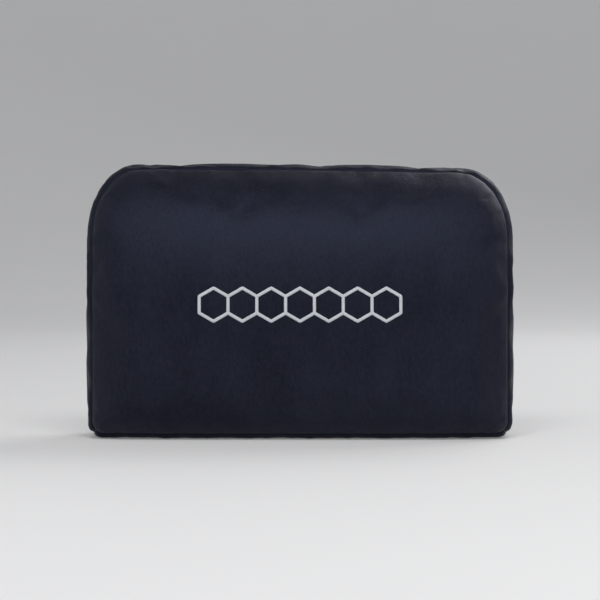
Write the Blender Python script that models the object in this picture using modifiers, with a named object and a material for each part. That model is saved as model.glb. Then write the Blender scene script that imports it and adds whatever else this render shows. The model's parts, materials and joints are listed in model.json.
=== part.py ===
"""Lumbar support cushion for a swivel chair.

A moulded foam block in a thin liner sits inside a boxed, zip-off cover, and an elastic strap with a
side-release buckle lies across its back. Metres, +Z up. X runs along the cushion, -Y is the side
that a sitter leans on, and the origin is under the middle of the object, on the plane it stands on.
"""

import math

import bmesh
import bpy
from mathutils import Matrix, Vector

# The cushion as a whole
WIDTH = 0.310
HEIGHT = 0.200
DEPTH = 0.090  # from the crown of the front to the back panels
TOP_DEPTH = 0.038  # what is left of the depth at the very top
BOTTOM_FALL = 0.008  # how far the front falls back at the foot
LEAN_FROM = 0.095  # above this height the front leans back
FOOT_TO = 0.030  # below this height it falls back to the foot
LEAN_POWER = 1.8  # 2 would be an ellipse
SIDE_FALL = 0.014  # how far the front falls back towards its side seams
SIDE_POWER = 5
TOP_CORNER = (0.034, 0.050)  # half axes of the elliptical corners, along X and Z
BOTTOM_CORNER = (0.010, 0.010)
FRONT_SEAM_IN = 0.007  # the seams lie inside the bulge of the side strip
BACK_SEAM_IN = 0.006
FRONT_ROUND = 0.014  # how far behind the front seam the bulge is full
BACK_ROUND = 0.008
SEGMENTS = 10  # faces along each side of the cushion's soft pieces

# Layers, from the outside in
GAP = 0.0003
COVER = 0.0020
LINER = 0.0006
LINER_IN = 0.0028  # outer face of the liner under the cover's
LINER_BACK_IN = 0.0046  # deeper at the back, where the zip lies
FOAM_IN = 0.0040
FOAM_BACK_IN = 0.0056
LINER_SLIT = (0.180, 0.006)  # the opening that the foam is put in through
LINER_SLIT_Z = 0.075

# Strap and buckle, across the back
STRAP_Z = 0.125
STRAP_WIDE = 0.025
STRAP_THICK = 0.0014
STRAP_END_X = 0.146
BUCKLE_THICK = 0.0090
BUCKLE_CLEAR = 0.0005

# Embroidery, on the middle of the front
STITCH_THICK = 0.0009
STITCH_OUT = STITCH_THICK + 2 * GAP

# The whole depth, embroidery to buckle, is centred on Y
WHOLE_DEPTH = STITCH_OUT + DEPTH + BUCKLE_CLEAR + BUCKLE_THICK
FRONT_Y = STITCH_OUT - WHOLE_DEPTH / 2
BACK_Y = FRONT_Y + DEPTH
MID_Z = HEIGHT / 2

# Zip, low on the back
ZIP_Z = 0.045
ZIP_SLOT = 0.014  # between the edges of the two back panels
ZIP_HALF = 0.125  # half the slot's length
TAPE_HALF = 0.124
TAPE_WIDE = 0.013
TAPE_THICK = 0.0008
TAPE_APART = 0.0026  # the slider's post runs between the tapes
COIL_HALF_WIDE = 0.0030
COIL_HIGH = 0.0018
COIL_END_X = 0.113
SLIDER_LONG = 0.011
SLIDER_X = -0.107  # middle of the closed zip's slider
POST_IN = 0.0010  # the slider's post stands just inside its nose
POST_LONG = 0.0022
STOP_LONG = 0.0026
STOP_HIGH = 0.0015
TAPE_OUT_Y = BACK_Y - COVER - GAP
TAPE_IN_Y = TAPE_OUT_Y - TAPE_THICK
COIL_BASE_Y = TAPE_OUT_Y + GAP
COIL_TOP_Y = COIL_BASE_Y + COIL_HIGH

COLLECTION = "lumbar_support_cushion"


def material(name, colour, roughness, metallic=0.0):
    """A plain Principled material, made once for each name."""
    made = bpy.data.materials.get(name)
    if made is None:
        made = bpy.data.materials.new(name)
        made.use_nodes = True
        shader = made.node_tree.nodes["Principled BSDF"]
        shader.inputs["Base Color"].default_value = (*colour, 1.0)
        shader.inputs["Roughness"].default_value = roughness
        shader.inputs["Metallic"].default_value = metallic
        made.diffuse_color = (*colour, 1.0)
    return made


def collection(name):
    made = bpy.data.collections.new(name)
    bpy.context.scene.collection.children.link(made)
    return made


def add_object(name, data, finish, where):
    """Put a mesh or a curve into a collection as a named object."""
    made = bpy.data.objects.new(name, data)
    data.materials.append(finish)
    where.objects.link(made)
    return made


def mesh_from(bm, name):
    mesh = bpy.data.meshes.new(name)
    bm.to_mesh(mesh)
    bm.free()
    return mesh


def profile_depth(z):
    """Depth of the cushion's middle at height z: upright below, leaning back to the top above."""
    if z > LEAN_FROM:
        t = min((z - LEAN_FROM) / (HEIGHT - LEAN_FROM), 1.0)
        return TOP_DEPTH + (DEPTH - TOP_DEPTH) * (1 - t**LEAN_POWER) ** (1 / LEAN_POWER)
    if z < FOOT_TO:
        t = min((FOOT_TO - z) / FOOT_TO, 1.0)
        return DEPTH - BOTTOM_FALL * (1 - math.sqrt(1 - t * t))
    return DEPTH


def front_y(x, z):
    """The front's crowned surface."""
    fall = SIDE_FALL * abs(2 * x / WIDTH) ** SIDE_POWER
    return BACK_Y - profile_depth(z) + fall


def outline(u, v, inset):
    """Where the rim of the square of half side 1 lies on the cushion's outline, seen from the front."""
    half_x = WIDTH / 2 - inset
    half_z = HEIGHT / 2 - inset
    corner_x, corner_z = TOP_CORNER if v > 0 else BOTTOM_CORNER
    x, z = u * half_x, v * half_z
    past_x = abs(x) - (half_x - corner_x)
    past_z = abs(z) - (half_z - corner_z)
    if past_x > 0 and past_z > 0:
        reach = math.hypot(past_x / corner_x, past_z / corner_z)
        x = math.copysign(half_x - corner_x + past_x / reach, x)
        z = math.copysign(half_z - corner_z + past_z / reach, z)
    return x, MID_Z + z


def eased(t):
    """Crowd evenly spaced values from -1 to 1 towards both ends, where the corners are."""
    return math.sin(t * math.pi / 2)


def face_point(u, v, front, layer, back_layer, seam_in):
    """A point of the front or the back, for u and v from -1 to 1."""
    u, v = eased(u), eased(v)
    scale = max(abs(u), abs(v), 1e-6)
    skin_x, skin_z = outline(u / scale, v / scale, seam_in)
    x, z = outline(u / scale, v / scale, seam_in + layer)
    skin_y = front_y(skin_x * scale, MID_Z + (skin_z - MID_Z) * scale)
    y = skin_y + layer if front else BACK_Y - back_layer
    return Vector((x * scale, y, MID_Z + (z - MID_Z) * scale))


def side_point(u, v, w, layer, back_layer, trim_front=0.0):
    """A point of the strip between front seam and back seam, for w from -1 to 1."""
    u, v = eased(u), eased(v)
    start = front_y(*outline(u, v, FRONT_SEAM_IN)) + layer
    length = BACK_Y - back_layer - start
    along = trim_front + (length - trim_front) * (1 + eased(w)) / 2
    near_front = max(0.0, 1 - along / FRONT_ROUND)
    near_back = max(0.0, 1 - (length - along) / BACK_ROUND)
    inset = FRONT_SEAM_IN * (1 - math.sqrt(1 - near_front**2))
    inset += BACK_SEAM_IN * (1 - math.sqrt(1 - near_back**2))
    x, z = outline(u, v, inset + layer)
    return Vector((x, start + along, z))


def turn_outward(bm):
    """Face an open or closed surface away from the cushion's middle."""
    middle = Vector((0, (FRONT_Y + BACK_Y) / 2, MID_Z))
    bm.normal_update()
    facing = sum(f.normal.dot(f.calc_center_median() - middle) * f.calc_area() for f in bm.faces)
    if facing < 0:
        bmesh.ops.reverse_faces(bm, faces=bm.faces)


def thicken(obj, thickness, offset=-1):
    shell = obj.modifiers.new("thickness", "SOLIDIFY")
    shell.thickness = thickness
    shell.offset = offset
    shell.use_even_offset = True
    return shell


def grid_skin(name, segments, place, finish, where):
    """A panel of cover fabric: a grid laid over the cushion and thickened inwards."""
    bm = bmesh.new()
    bmesh.ops.create_grid(bm, x_segments=segments[0], y_segments=segments[1], size=1)
    for vert in bm.verts:
        vert.co = place(vert.co.x, vert.co.y)
    turn_outward(bm)
    made = add_object(name, mesh_from(bm, name), finish, where)
    thicken(made, COVER)
    return made


def closed_form(layer, back_layer):
    """The cushion's whole closed surface, one layer down: a gridded cube drawn onto it."""
    bm = bmesh.new()
    bmesh.ops.create_cube(bm, size=2)
    bmesh.ops.subdivide_edges(bm, edges=bm.edges, cuts=SEGMENTS - 1, use_grid_fill=True)
    for vert in bm.verts:
        u, w, v = vert.co
        if abs(w) > 0.999:
            seam_in = FRONT_SEAM_IN if w < 0 else BACK_SEAM_IN
            vert.co = face_point(u, v, w < 0, layer, back_layer, seam_in)
        else:
            vert.co = side_point(u, v, w, layer, back_layer)
    turn_outward(bm)
    return bm


def make_foam_core(finish, where):
    """One moulded block of memory foam."""
    bm = closed_form(FOAM_IN, FOAM_BACK_IN)
    add_object("foam_core", mesh_from(bm, "foam_core"), finish, where)


def make_liner(finish, where):
    """A thin bag round the foam, with a slit across its back."""
    bm = closed_form(LINER_IN, LINER_BACK_IN)
    back = BACK_Y - LINER_BACK_IN
    on_back = [f for f in bm.faces if all(abs(v.co.y - back) < 1e-6 for v in f.verts)]
    row = [
        f
        for f in on_back
        if min(v.co.z for v in f.verts) < LINER_SLIT_Z < max(v.co.z for v in f.verts)
        and max(abs(v.co.x) for v in f.verts) < LINER_SLIT[0] / 2
    ]
    rims = {v for f in row for v in f.verts}
    for vert in rims:
        side = 1 if vert.co.z > LINER_SLIT_Z else -1
        vert.co.z = LINER_SLIT_Z + side * LINER_SLIT[1] / 2
    bmesh.ops.delete(bm, geom=row, context="FACES")
    made = add_object("inner_liner", mesh_from(bm, "inner_liner"), finish, where)
    thicken(made, LINER)
    return made


def make_front_panel(finish, where):
    return grid_skin(
        "front_panel",
        (SEGMENTS, SEGMENTS),
        lambda u, v: face_point(u, v, True, 0.0, 0.0, FRONT_SEAM_IN),
        finish,
        where,
    )


def make_side_strip(finish, where):
    """One strip up the left side, over the top and down the right side."""
    sides = 3
    foot = 0.97  # the strip stops just short of the bottom corners
    trim = COVER + 2 * GAP

    def place(t, w):
        along = (t + 1) / 2 * sides
        leg = min(int(along), sides - 1)
        local = 2 * (along - leg) - 1
        u, v = ((-1, local), (local, 1), (1, -local))[leg]
        return side_point(u, max(v, -foot), w, 0.0, 0.0, trim)

    return grid_skin("side_strip", (sides * SEGMENTS, SEGMENTS), place, finish, where)


def make_bottom_panel(finish, where):
    end = 0.86  # short of the bottom corners, where the strip's ends are
    trim = COVER + 2 * GAP
    return grid_skin(
        "bottom_panel",
        (SEGMENTS, SEGMENTS),
        lambda u, w: side_point(u * end, -1, w, 0.0, 0.0, trim),
        finish,
        where,
    )


def anticlockwise(points):
    """The outline in the order that faces a filled curve outwards."""
    area = sum(a[0] * b[1] - b[0] * a[1] for a, b in zip(points, points[1:] + points[:1]))
    return points if area > 0 else points[::-1]


def plate(name, points, y_low, y_high, finish, where):
    """A flat outline in X and Z, as thick as the two Y values are apart."""
    points = anticlockwise(points)
    curve = bpy.data.curves.new(name, "CURVE")
    curve.dimensions = "2D"
    curve.fill_mode = "BOTH"
    curve.extrude = (y_high - y_low) / 2
    spline = curve.splines.new("POLY")
    spline.points.add(len(points) - 1)
    for point, (x, z) in zip(spline.points, points):
        point.co = (x, z, 0, 1)
    spline.use_cyclic_u = True
    made = add_object(name, curve, finish, where)
    made.location = (0, (y_low + y_high) / 2, 0)
    made.rotation_euler = (math.pi / 2, 0, 0)
    return made


def back_rim(inset):
    """The back's outline as points, once round."""
    steps = [-1 + 2 * i / SEGMENTS for i in range(SEGMENTS)]
    rim = [(t, -1) for t in steps] + [(1, t) for t in steps]
    rim += [(-t, 1) for t in steps] + [(-1, -t) for t in steps]
    return [outline(eased(u), eased(v), inset) for u, v in rim]


def make_back_panels(finish, where):
    """Two flat panels that meet beside the zip and stand apart along it."""
    inset = BACK_SEAM_IN + COVER + GAP  # clear of the strip's turned edge
    rim = back_rim(inset)
    side_x = WIDTH / 2 - inset
    for name, up in (("back_panel_upper", 1), ("back_panel_lower", -1)):
        seam_z = ZIP_Z + up * GAP
        slot_z = ZIP_Z + up * ZIP_SLOT / 2
        own = [p for p in rim if (p[1] - ZIP_Z) * up > 1e-3]
        own.sort(key=lambda p: math.atan2(p[0], (p[1] - ZIP_Z) * up))
        edge = [(side_x, seam_z), (ZIP_HALF, seam_z), (ZIP_HALF, slot_z)]
        edge += [(-ZIP_HALF, slot_z), (-ZIP_HALF, seam_z), (-side_x, seam_z)]
        plate(name, own + edge, BACK_Y - COVER, BACK_Y, finish, where)


def block(name, low, high, finish, where, rounding=0.0):
    """A box between two corners, with its edges rounded if asked."""
    low, high = Vector(low), Vector(high)
    bm = bmesh.new()
    bmesh.ops.create_cube(bm, size=1)
    size = high - low
    bmesh.ops.transform(
        bm, matrix=Matrix.Translation((low + high) / 2) @ Matrix.Diagonal((*size, 1)), verts=bm.verts
    )
    made = add_object(name, mesh_from(bm, name), finish, where)
    if rounding:
        edge = made.modifiers.new("rounding", "BEVEL")
        edge.width = rounding
        edge.segments = 2
    return made


def combine(target, tool, operation, cutters):
    """Join a second solid to a node or cut it away, with the EXACT solver."""
    for old in tool.users_collection:
        old.objects.unlink(tool)
    cutters.objects.link(tool)
    tool.hide_render = True
    tool.display_type = "WIRE"
    step = target.modifiers.new(tool.name, "BOOLEAN")
    step.operation = operation
    step.solver = "EXACT"
    step.object = tool


def about_axis(obj, axis_point):
    """Move an object's origin onto its joint's axis and leave its shape where it is."""
    shift = Vector(axis_point)
    obj.data.transform(Matrix.Translation(-shift))
    obj.location = shift


def between(name, x, y, z, finish, where, rounding=0.0):
    """A box from three pairs of limits, each pair in either order."""
    spans = [sorted(pair) for pair in (x, y, z)]
    low = [span[0] for span in spans]
    high = [span[1] for span in spans]
    return block(name, low, high, finish, where, rounding)


def make_zip(tape_finish, coil_finish, metal, where):
    """Two tapes behind the slot, a coil on each, and the stops at the ends."""
    coil_x = (SLIDER_X - SLIDER_LONG / 2 + POST_IN + POST_LONG + GAP, COIL_END_X)
    stop_end = SLIDER_X - SLIDER_LONG / 2 - 2 * GAP
    for name, up in (("upper", 1), ("lower", -1)):
        tape_z = (ZIP_Z + up * TAPE_APART / 2, ZIP_Z + up * (TAPE_APART / 2 + TAPE_WIDE))
        coil_z = (ZIP_Z + up * GAP / 2, ZIP_Z + up * COIL_HALF_WIDE)
        stop_z = (ZIP_Z + up * 0.0010, ZIP_Z + up * 0.0042)
        tape_y = (TAPE_IN_Y, TAPE_OUT_Y)
        coil_y = (COIL_BASE_Y, COIL_TOP_Y)
        stop_y = (COIL_BASE_Y, COIL_BASE_Y + STOP_HIGH)
        stop_x = (stop_end - STOP_LONG, stop_end)
        between(f"zip_tape_{name}", (-TAPE_HALF, TAPE_HALF), tape_y, tape_z, tape_finish, where)
        between(f"zip_coil_{name}", coil_x, coil_y, coil_z, coil_finish, where, rounding=0.0006)
        between(f"zip_top_stop_{name}", stop_x, stop_y, stop_z, metal, where, rounding=0.0003)
    stop_x = (COIL_END_X + GAP, COIL_END_X + GAP + STOP_LONG)
    stop_z = (ZIP_Z - COIL_HALF_WIDE - 0.0006, ZIP_Z + COIL_HALF_WIDE + 0.0006)
    between("zip_bottom_stop", stop_x, stop_y, stop_z, metal, where, rounding=0.0004)


def make_slider_and_pull(metal, where, cutters):
    """A slider with a plate on each side of the tapes, and the pull that hangs in its bridge."""
    plate_thick = 0.0010
    lower_thick = 0.0008
    flange_in = COIL_HALF_WIDE + GAP
    half_wide = flange_in + 0.0009
    post_half_wide = 0.0008
    lap = 0.0003  # joined pieces run into each other by this much
    bridge_half_long = 0.0044
    bridge_half_wide = 0.0011
    leg_long = 0.0014
    bridge_gap = 0.0024
    bridge_thick = 0.0009

    top_in = COIL_TOP_Y + GAP
    top_out = top_in + plate_thick
    lower_out = TAPE_IN_Y - GAP
    lower_in = lower_out - lower_thick
    bridge_y = top_out + bridge_gap
    nose_x = SLIDER_X - SLIDER_LONG / 2
    tail_x = SLIDER_X + SLIDER_LONG / 2
    wide = (ZIP_Z - half_wide, ZIP_Z + half_wide)

    slider = between("zip_slider", (nose_x, tail_x), (top_in, top_out), wide, metal, where)
    post_x = (nose_x + POST_IN, nose_x + POST_IN + POST_LONG)
    post_z = (ZIP_Z - post_half_wide, ZIP_Z + post_half_wide)
    bridge_x = (SLIDER_X - bridge_half_long + lap, SLIDER_X + bridge_half_long - lap)
    bridge_z = (ZIP_Z - bridge_half_wide + lap / 3, ZIP_Z + bridge_half_wide - lap / 3)
    joined = [
        ("lower_plate", (nose_x, tail_x), (lower_in, lower_out), wide),
        ("post", post_x, (lower_in + lap, top_out - lap), post_z),
        ("bridge", bridge_x, (bridge_y, bridge_y + bridge_thick), bridge_z),
    ]
    for side in (-1, 1):
        flange_x = (nose_x + lap, tail_x - lap)
        flange_z = (ZIP_Z + side * flange_in, ZIP_Z + side * half_wide)
        joined.append((f"flange_{side}", flange_x, (COIL_BASE_Y, top_out - lap), flange_z))
        leg_x = (SLIDER_X + side * (bridge_half_long - leg_long), SLIDER_X + side * bridge_half_long)
        leg_y = (top_out - lap, bridge_y + bridge_thick - lap / 3)
        leg_z = (ZIP_Z - bridge_half_wide, ZIP_Z + bridge_half_wide)
        joined.append((f"bridge_leg_{side}", leg_x, leg_y, leg_z))
    for name, x, y, z in joined:
        combine(slider, between(f"slider_{name}", x, y, z, metal, where), "UNION", cutters)
    about_axis(slider, (SLIDER_X, BACK_Y, ZIP_Z))

    axis_y = top_out + bridge_gap / 2
    bar_half = 0.0006  # the pull's cross bar, which turns under the bridge
    pull_long = 0.0300
    pull_half_wide = 0.0040
    eye_long = 0.0056
    eye_half_wide = bridge_half_wide + 0.0008
    pull_x = (SLIDER_X - bar_half, SLIDER_X + pull_long)
    pull_z = (ZIP_Z - pull_half_wide, ZIP_Z + pull_half_wide)
    pull = between("zip_pull", pull_x, (axis_y - bar_half, axis_y + bar_half), pull_z, metal, where)
    eye_x = (SLIDER_X + bar_half, SLIDER_X + bar_half + eye_long)
    eye_z = (ZIP_Z - eye_half_wide, ZIP_Z + eye_half_wide)
    eye = between("pull_eye", eye_x, (axis_y - 2 * bar_half, axis_y + 2 * bar_half), eye_z, metal, where)
    combine(pull, eye, "DIFFERENCE", cutters)
    edge = pull.modifiers.new("rounding", "BEVEL")
    edge.width = 0.0002
    edge.segments = 1
    about_axis(pull, (SLIDER_X, axis_y, ZIP_Z))


def make_label(finish, where):
    """A blank woven care label, sewn flat below the zip."""
    thick = 0.0004
    label_x = (0.060, 0.098)
    label_z = (0.011, 0.031)
    between("care_label", label_x, (BACK_Y + GAP, BACK_Y + GAP + thick), label_z, finish, where)


def make_embroidery(finish, where):
    """A row of joined hexagon outlines, stitched on the middle of the front and following its crown."""
    count = 7
    radius = 0.0120  # of each hexagon, to the middle of its stroke
    stroke = 0.0022
    middle_z = 0.098
    pitch = radius * math.sqrt(3)
    row_x = [(i - (count - 1) / 2) * pitch for i in range(count)]
    outer = radius + stroke / math.sqrt(3)
    half_side = outer / 2
    end_x = row_x[-1] + outer * math.sqrt(3) / 2
    peaks = [(x, outer) for x in row_x]
    dips = [(x + pitch / 2, half_side + stroke / 4) for x in row_x[:-1]]
    crest = [(-end_x, half_side)]
    for peak, dip in zip(peaks, dips + [(end_x, half_side)]):
        crest += [peak, dip]
    loops = [anticlockwise(crest + [(x, -z) for x, z in reversed(crest)])]
    inner = radius - stroke / math.sqrt(3)
    for x in row_x:
        turns = [math.radians(90 + 60 * k) for k in range(6)]
        hexagon = [(x + inner * math.cos(a), inner * math.sin(a)) for a in turns]
        loops.append(anticlockwise(hexagon)[::-1])

    curve = bpy.data.curves.new("front_embroidery", "CURVE")
    curve.dimensions = "2D"
    curve.fill_mode = "BOTH"
    curve.extrude = STITCH_THICK / 2
    for loop in loops:
        spline = curve.splines.new("POLY")
        spline.points.add(len(loop) - 1)
        for point, (x, z) in zip(spline.points, loop):
            point.co = (x, z, 0, 1)
        spline.use_cyclic_u = True
    guide = add_object("embroidery_outline", curve, finish, where)
    guide.rotation_euler = (math.pi / 2, 0, 0)
    bpy.context.view_layer.update()
    shape = guide.evaluated_get(bpy.context.evaluated_depsgraph_get())
    mesh = bpy.data.meshes.new_from_object(shape)
    mesh.transform(guide.matrix_world)
    bpy.data.objects.remove(guide)
    bm = bmesh.new()
    bm.from_mesh(mesh)
    bmesh.ops.remove_doubles(bm, verts=bm.verts, dist=1e-5)
    for vert in bm.verts:
        vert.co.z += middle_z
        vert.co.y += front_y(vert.co.x, vert.co.z) - STITCH_OUT + STITCH_THICK / 2
    made = add_object("front_embroidery", mesh_from(bm, "front_embroidery"), finish, where)
    made.data.materials.clear()
    made.data.materials.append(finish)


def ribbon(name, path, finish, where):
    """A flat strap, on edge along a path in X and Y, at the strap's height."""
    curve = bpy.data.curves.new(name, "CURVE")
    curve.dimensions = "2D"
    curve.fill_mode = "NONE"
    curve.extrude = STRAP_WIDE / 2
    spline = curve.splines.new("POLY")
    spline.points.add(len(path) - 1)
    for point, (x, y) in zip(spline.points, path):
        point.co = (x, y, 0, 1)
    made = add_object(name, curve, finish, where)
    made.location = (0, 0, STRAP_Z)
    thicken(made, STRAP_THICK, offset=0)
    return made


def round_bar(name, x, y, radius, half_long, finish, where):
    """A round bar that stands along Z at the strap's height."""
    bm = bmesh.new()
    bmesh.ops.create_cone(
        bm, cap_ends=True, segments=12, radius1=radius, radius2=radius, depth=2 * half_long
    )
    made = add_object(name, mesh_from(bm, name), finish, where)
    made.location = (x, y, STRAP_Z)
    return made


def turn_round_bar(bar_x, bar_y, radius, side):
    """A strap's bend round a bar, from under it to over it, on the bar's +X or -X side."""
    angles = [math.radians(-90 + 30 * i) for i in range(7)]
    return [(bar_x + side * radius * math.cos(a), bar_y + radius * math.sin(a)) for a in angles]


def make_strap_and_buckle(webbing, plastic, where, cutters):
    """An elastic strap sewn into both side seams, clipped short across the back by a buckle."""
    level = BACK_Y + BUCKLE_CLEAR + BUCKLE_THICK / 2
    half_thick = BUCKLE_THICK / 2
    half_wide = 0.0165
    slot_half = STRAP_WIDE / 2 + 0.0006
    bar_radius = 0.0015
    bend = bar_radius + GAP + STRAP_THICK / 2
    frame_half = 0.0022  # the frames that hold the bars are thinner than the body
    on_back = BACK_Y + 2 * GAP + STRAP_THICK / 2
    second = on_back + STRAP_THICK + 2 * GAP

    def box(name, x, y, z, rounding=0.0):
        low = (x[0], level + y[0], STRAP_Z + z[0])
        high = (x[1], level + y[1], STRAP_Z + z[1])
        return block(name, low, high, plastic, where, rounding)

    # The receptacle, with the sewn strap's bar on its -X end and its mouth at X = 0
    body_x = (-0.025, 0.0)
    far_bar_x = -0.0335
    wall = 0.0030
    pocket_half = 0.0027
    female = box("buckle_female", body_x, (-half_thick, half_thick), (-half_wide, half_wide), 0.0012)
    arm_x = (far_bar_x - bar_radius, body_x[0] + 0.002)
    arm_y = (-frame_half, frame_half)
    for side in (-1, 1):
        arm_z = sorted((side * slot_half, side * (half_wide - 0.0004)))
        combine(female, box(f"female_arm_{side}", arm_x, arm_y, arm_z), "UNION", cutters)
    bar = round_bar("female_bar", far_bar_x, level, bar_radius, half_wide - 0.001, plastic, where)
    combine(female, bar, "UNION", cutters)
    pocket = box(
        "female_pocket",
        (body_x[0] + 0.002, 0.004),
        (-pocket_half, pocket_half),
        (-half_wide + wall, half_wide - wall),
    )
    combine(female, pocket, "DIFFERENCE", cutters)
    windows = box(
        "female_windows", (-0.0175, -0.0060), (-pocket_half + 0.0002, pocket_half - 0.0002), (-0.03, 0.03)
    )
    combine(female, windows, "DIFFERENCE", cutters)

    # The plug, with two prongs, a guide tongue and a two-bar frame for the adjustable strap
    shoulder_x = (GAP, 0.0060)
    near_bar_x = 0.0140
    outer_bar_x = 0.0230
    prong_y = (-pocket_half + GAP * 2, pocket_half - GAP * 2)
    male = box("buckle_male", shoulder_x, (-half_thick, half_thick), (-half_wide, half_wide), 0.0010)
    for side in (-1, 1):
        prong_z = sorted((side * 0.0092, side * (half_wide - wall - 2 * GAP)))
        prong = box(f"male_prong_{side}", (-0.0205, shoulder_x[0] + 0.001), prong_y, prong_z)
        combine(male, prong, "UNION", cutters)
        arm_z = sorted((side * slot_half, side * (half_wide - 0.0004)))
        arm_x = (shoulder_x[1] - 0.001, outer_bar_x + bar_radius)
        combine(male, box(f"male_arm_{side}", arm_x, arm_y, arm_z), "UNION", cutters)
    tongue = box("male_tongue", (-0.0215, shoulder_x[0] + 0.001), prong_y, (-0.0030, 0.0030))
    combine(male, tongue, "UNION", cutters)
    for name, x in (("near", near_bar_x), ("outer", outer_bar_x)):
        bar = round_bar(f"male_bar_{name}", x, level, bar_radius, half_wide - 0.001, plastic, where)
        combine(male, bar, "UNION", cutters)
    about_axis(male, (0, level, STRAP_Z))

    # The sewn strap doubles back on itself; the other runs round the near bar to a loose tail
    left = [(-STRAP_END_X, on_back), (far_bar_x - 0.024, on_back), (far_bar_x - 0.006, level - bend)]
    left += turn_round_bar(far_bar_x, level, bend, 1)
    left += [(far_bar_x - 0.006, level + bend), (far_bar_x - 0.024, second), (far_bar_x - 0.040, second)]
    ribbon("strap_left", left, webbing, where)
    right = [(STRAP_END_X, on_back), (outer_bar_x + 0.022, on_back), (outer_bar_x + 0.005, level - bend)]
    right += turn_round_bar(near_bar_x, level, bend, -1)
    right += [(outer_bar_x + 0.005, level + bend), (outer_bar_x + 0.022, second)]
    right += [(outer_bar_x + 0.062, second)]
    ribbon("strap_right", right, webbing, where)


def clear_scene():
    for obj in list(bpy.data.objects):
        bpy.data.objects.remove(obj)
    for old in list(bpy.data.collections):
        bpy.data.collections.remove(old)


clear_scene()
parts = collection(COLLECTION)
cutters = collection("cutters")
cutters.hide_render = True

velour = material("navy_velour", (0.016, 0.018, 0.032), 0.85)
foam = material("memory_foam", (0.80, 0.76, 0.62), 0.9)
lining = material("liner_mesh", (0.75, 0.75, 0.74), 0.9)
tape_cloth = material("zip_tape", (0.014, 0.015, 0.022), 0.8)
coil_plastic = material("zip_coil", (0.012, 0.012, 0.016), 0.45)
dark_metal = material("slider_metal", (0.05, 0.05, 0.055), 0.4, 0.9)
elastic = material("strap_elastic", (0.012, 0.013, 0.018), 0.8)
acetal = material("buckle_plastic", (0.015, 0.015, 0.017), 0.4)
thread = material("embroidery_thread", (0.62, 0.65, 0.70), 0.5)
satin = material("label_satin", (0.78, 0.78, 0.76), 0.6)

make_foam_core(foam, parts)
make_liner(lining, parts)
make_front_panel(velour, parts)
make_side_strip(velour, parts)
make_bottom_panel(velour, parts)
make_back_panels(velour, parts)
make_zip(tape_cloth, coil_plastic, dark_metal, parts)
make_slider_and_pull(dark_metal, parts, cutters)
make_label(satin, parts)
make_embroidery(thread, parts)
make_strap_and_buckle(elastic, acetal, parts, cutters)
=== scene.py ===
import json
import math

import bmesh
import bpy
import numpy as np
from mathutils import Matrix, Vector, kdtree, noise
from mathutils.bvhtree import BVHTree


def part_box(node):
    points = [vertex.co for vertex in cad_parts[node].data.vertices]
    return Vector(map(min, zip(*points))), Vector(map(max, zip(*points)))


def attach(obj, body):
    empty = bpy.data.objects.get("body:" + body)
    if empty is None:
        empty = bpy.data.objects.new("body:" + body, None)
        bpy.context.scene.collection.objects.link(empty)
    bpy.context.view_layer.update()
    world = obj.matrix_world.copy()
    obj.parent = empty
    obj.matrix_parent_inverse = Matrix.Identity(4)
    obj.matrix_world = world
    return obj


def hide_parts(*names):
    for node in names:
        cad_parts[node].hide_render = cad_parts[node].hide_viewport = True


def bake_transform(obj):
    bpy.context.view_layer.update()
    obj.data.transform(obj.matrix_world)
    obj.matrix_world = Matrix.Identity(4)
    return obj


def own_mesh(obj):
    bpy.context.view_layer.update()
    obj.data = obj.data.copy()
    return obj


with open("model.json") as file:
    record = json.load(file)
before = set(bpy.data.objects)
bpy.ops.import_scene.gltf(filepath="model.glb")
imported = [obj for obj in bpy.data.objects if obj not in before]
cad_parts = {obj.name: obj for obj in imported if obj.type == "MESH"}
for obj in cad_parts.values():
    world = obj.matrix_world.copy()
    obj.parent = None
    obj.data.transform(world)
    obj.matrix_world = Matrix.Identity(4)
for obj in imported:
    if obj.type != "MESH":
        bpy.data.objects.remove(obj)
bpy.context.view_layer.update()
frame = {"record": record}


# ---- Foam block ------------------------------------------------------------------------------
# One moulded block of slow memory foam gives the cushion its shape: upright low down, leaning
# back to a thin top, flat behind. It is moulded with a skin, and lies loose in its liner.

strip_low, strip_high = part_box("side_strip")
CREST_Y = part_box("front_panel")[0].y
BACK_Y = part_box("back_panel_upper")[1].y
FOOT_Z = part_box("bottom_panel")[0].z
HALF_X = (strip_high.x - strip_low.x) / 2
HALF_Z = (strip_high.z - FOOT_Z) / 2
MID_Z = FOOT_Z + HALF_Z
DEEP = BACK_Y - CREST_Y
TOP_DEEP = 0.038  # depth left at the very top
LEAN_FROM = 0.095  # the front leans back above this height
LEAN_POWER = 1.8
FOOT_TO = 0.030  # and falls back below this one
FOOT_FALL = 0.008
SIDE_FALL = 0.013
SIDE_POWER = 5  # the front stays flat across, and falls back close to its sides
TOP_CORNER = (0.034, 0.050)  # how far a corner's curve reaches along X and Z
FOOT_CORNER = (0.010, 0.010)
FRONT_TURN = math.radians(60)  # how far round the front's rounded edge its seam lies
BACK_TURN = math.radians(45)
CROWDING = 1.25  # radians; nearer to a right angle, a grid's rows lie closer by its rims
STRIP_SHARE = 0.8  # of the cushion's depth, which the strip round it spans
FRONT, BACK, TOP, FOOT, RIGHT, LEFT = range(6)  # the order of a boxed form's grids


def crown_y(x, z):
    """Where the front's smooth surface lies at a place seen from the front."""
    height = z - FOOT_Z
    deep = DEEP
    if height > LEAN_FROM:
        t = min((height - LEAN_FROM) / (2 * HALF_Z - LEAN_FROM), 1.0)
        deep = TOP_DEEP + (DEEP - TOP_DEEP) * (1 - t**LEAN_POWER) ** (1 / LEAN_POWER)
    elif height < FOOT_TO:
        t = min((FOOT_TO - height) / FOOT_TO, 1.0)
        deep = DEEP - FOOT_FALL * (1 - math.sqrt(1 - t * t))
    return BACK_Y - deep + SIDE_FALL * min(abs(x / HALF_X), 1.0) ** SIDE_POWER


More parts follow.
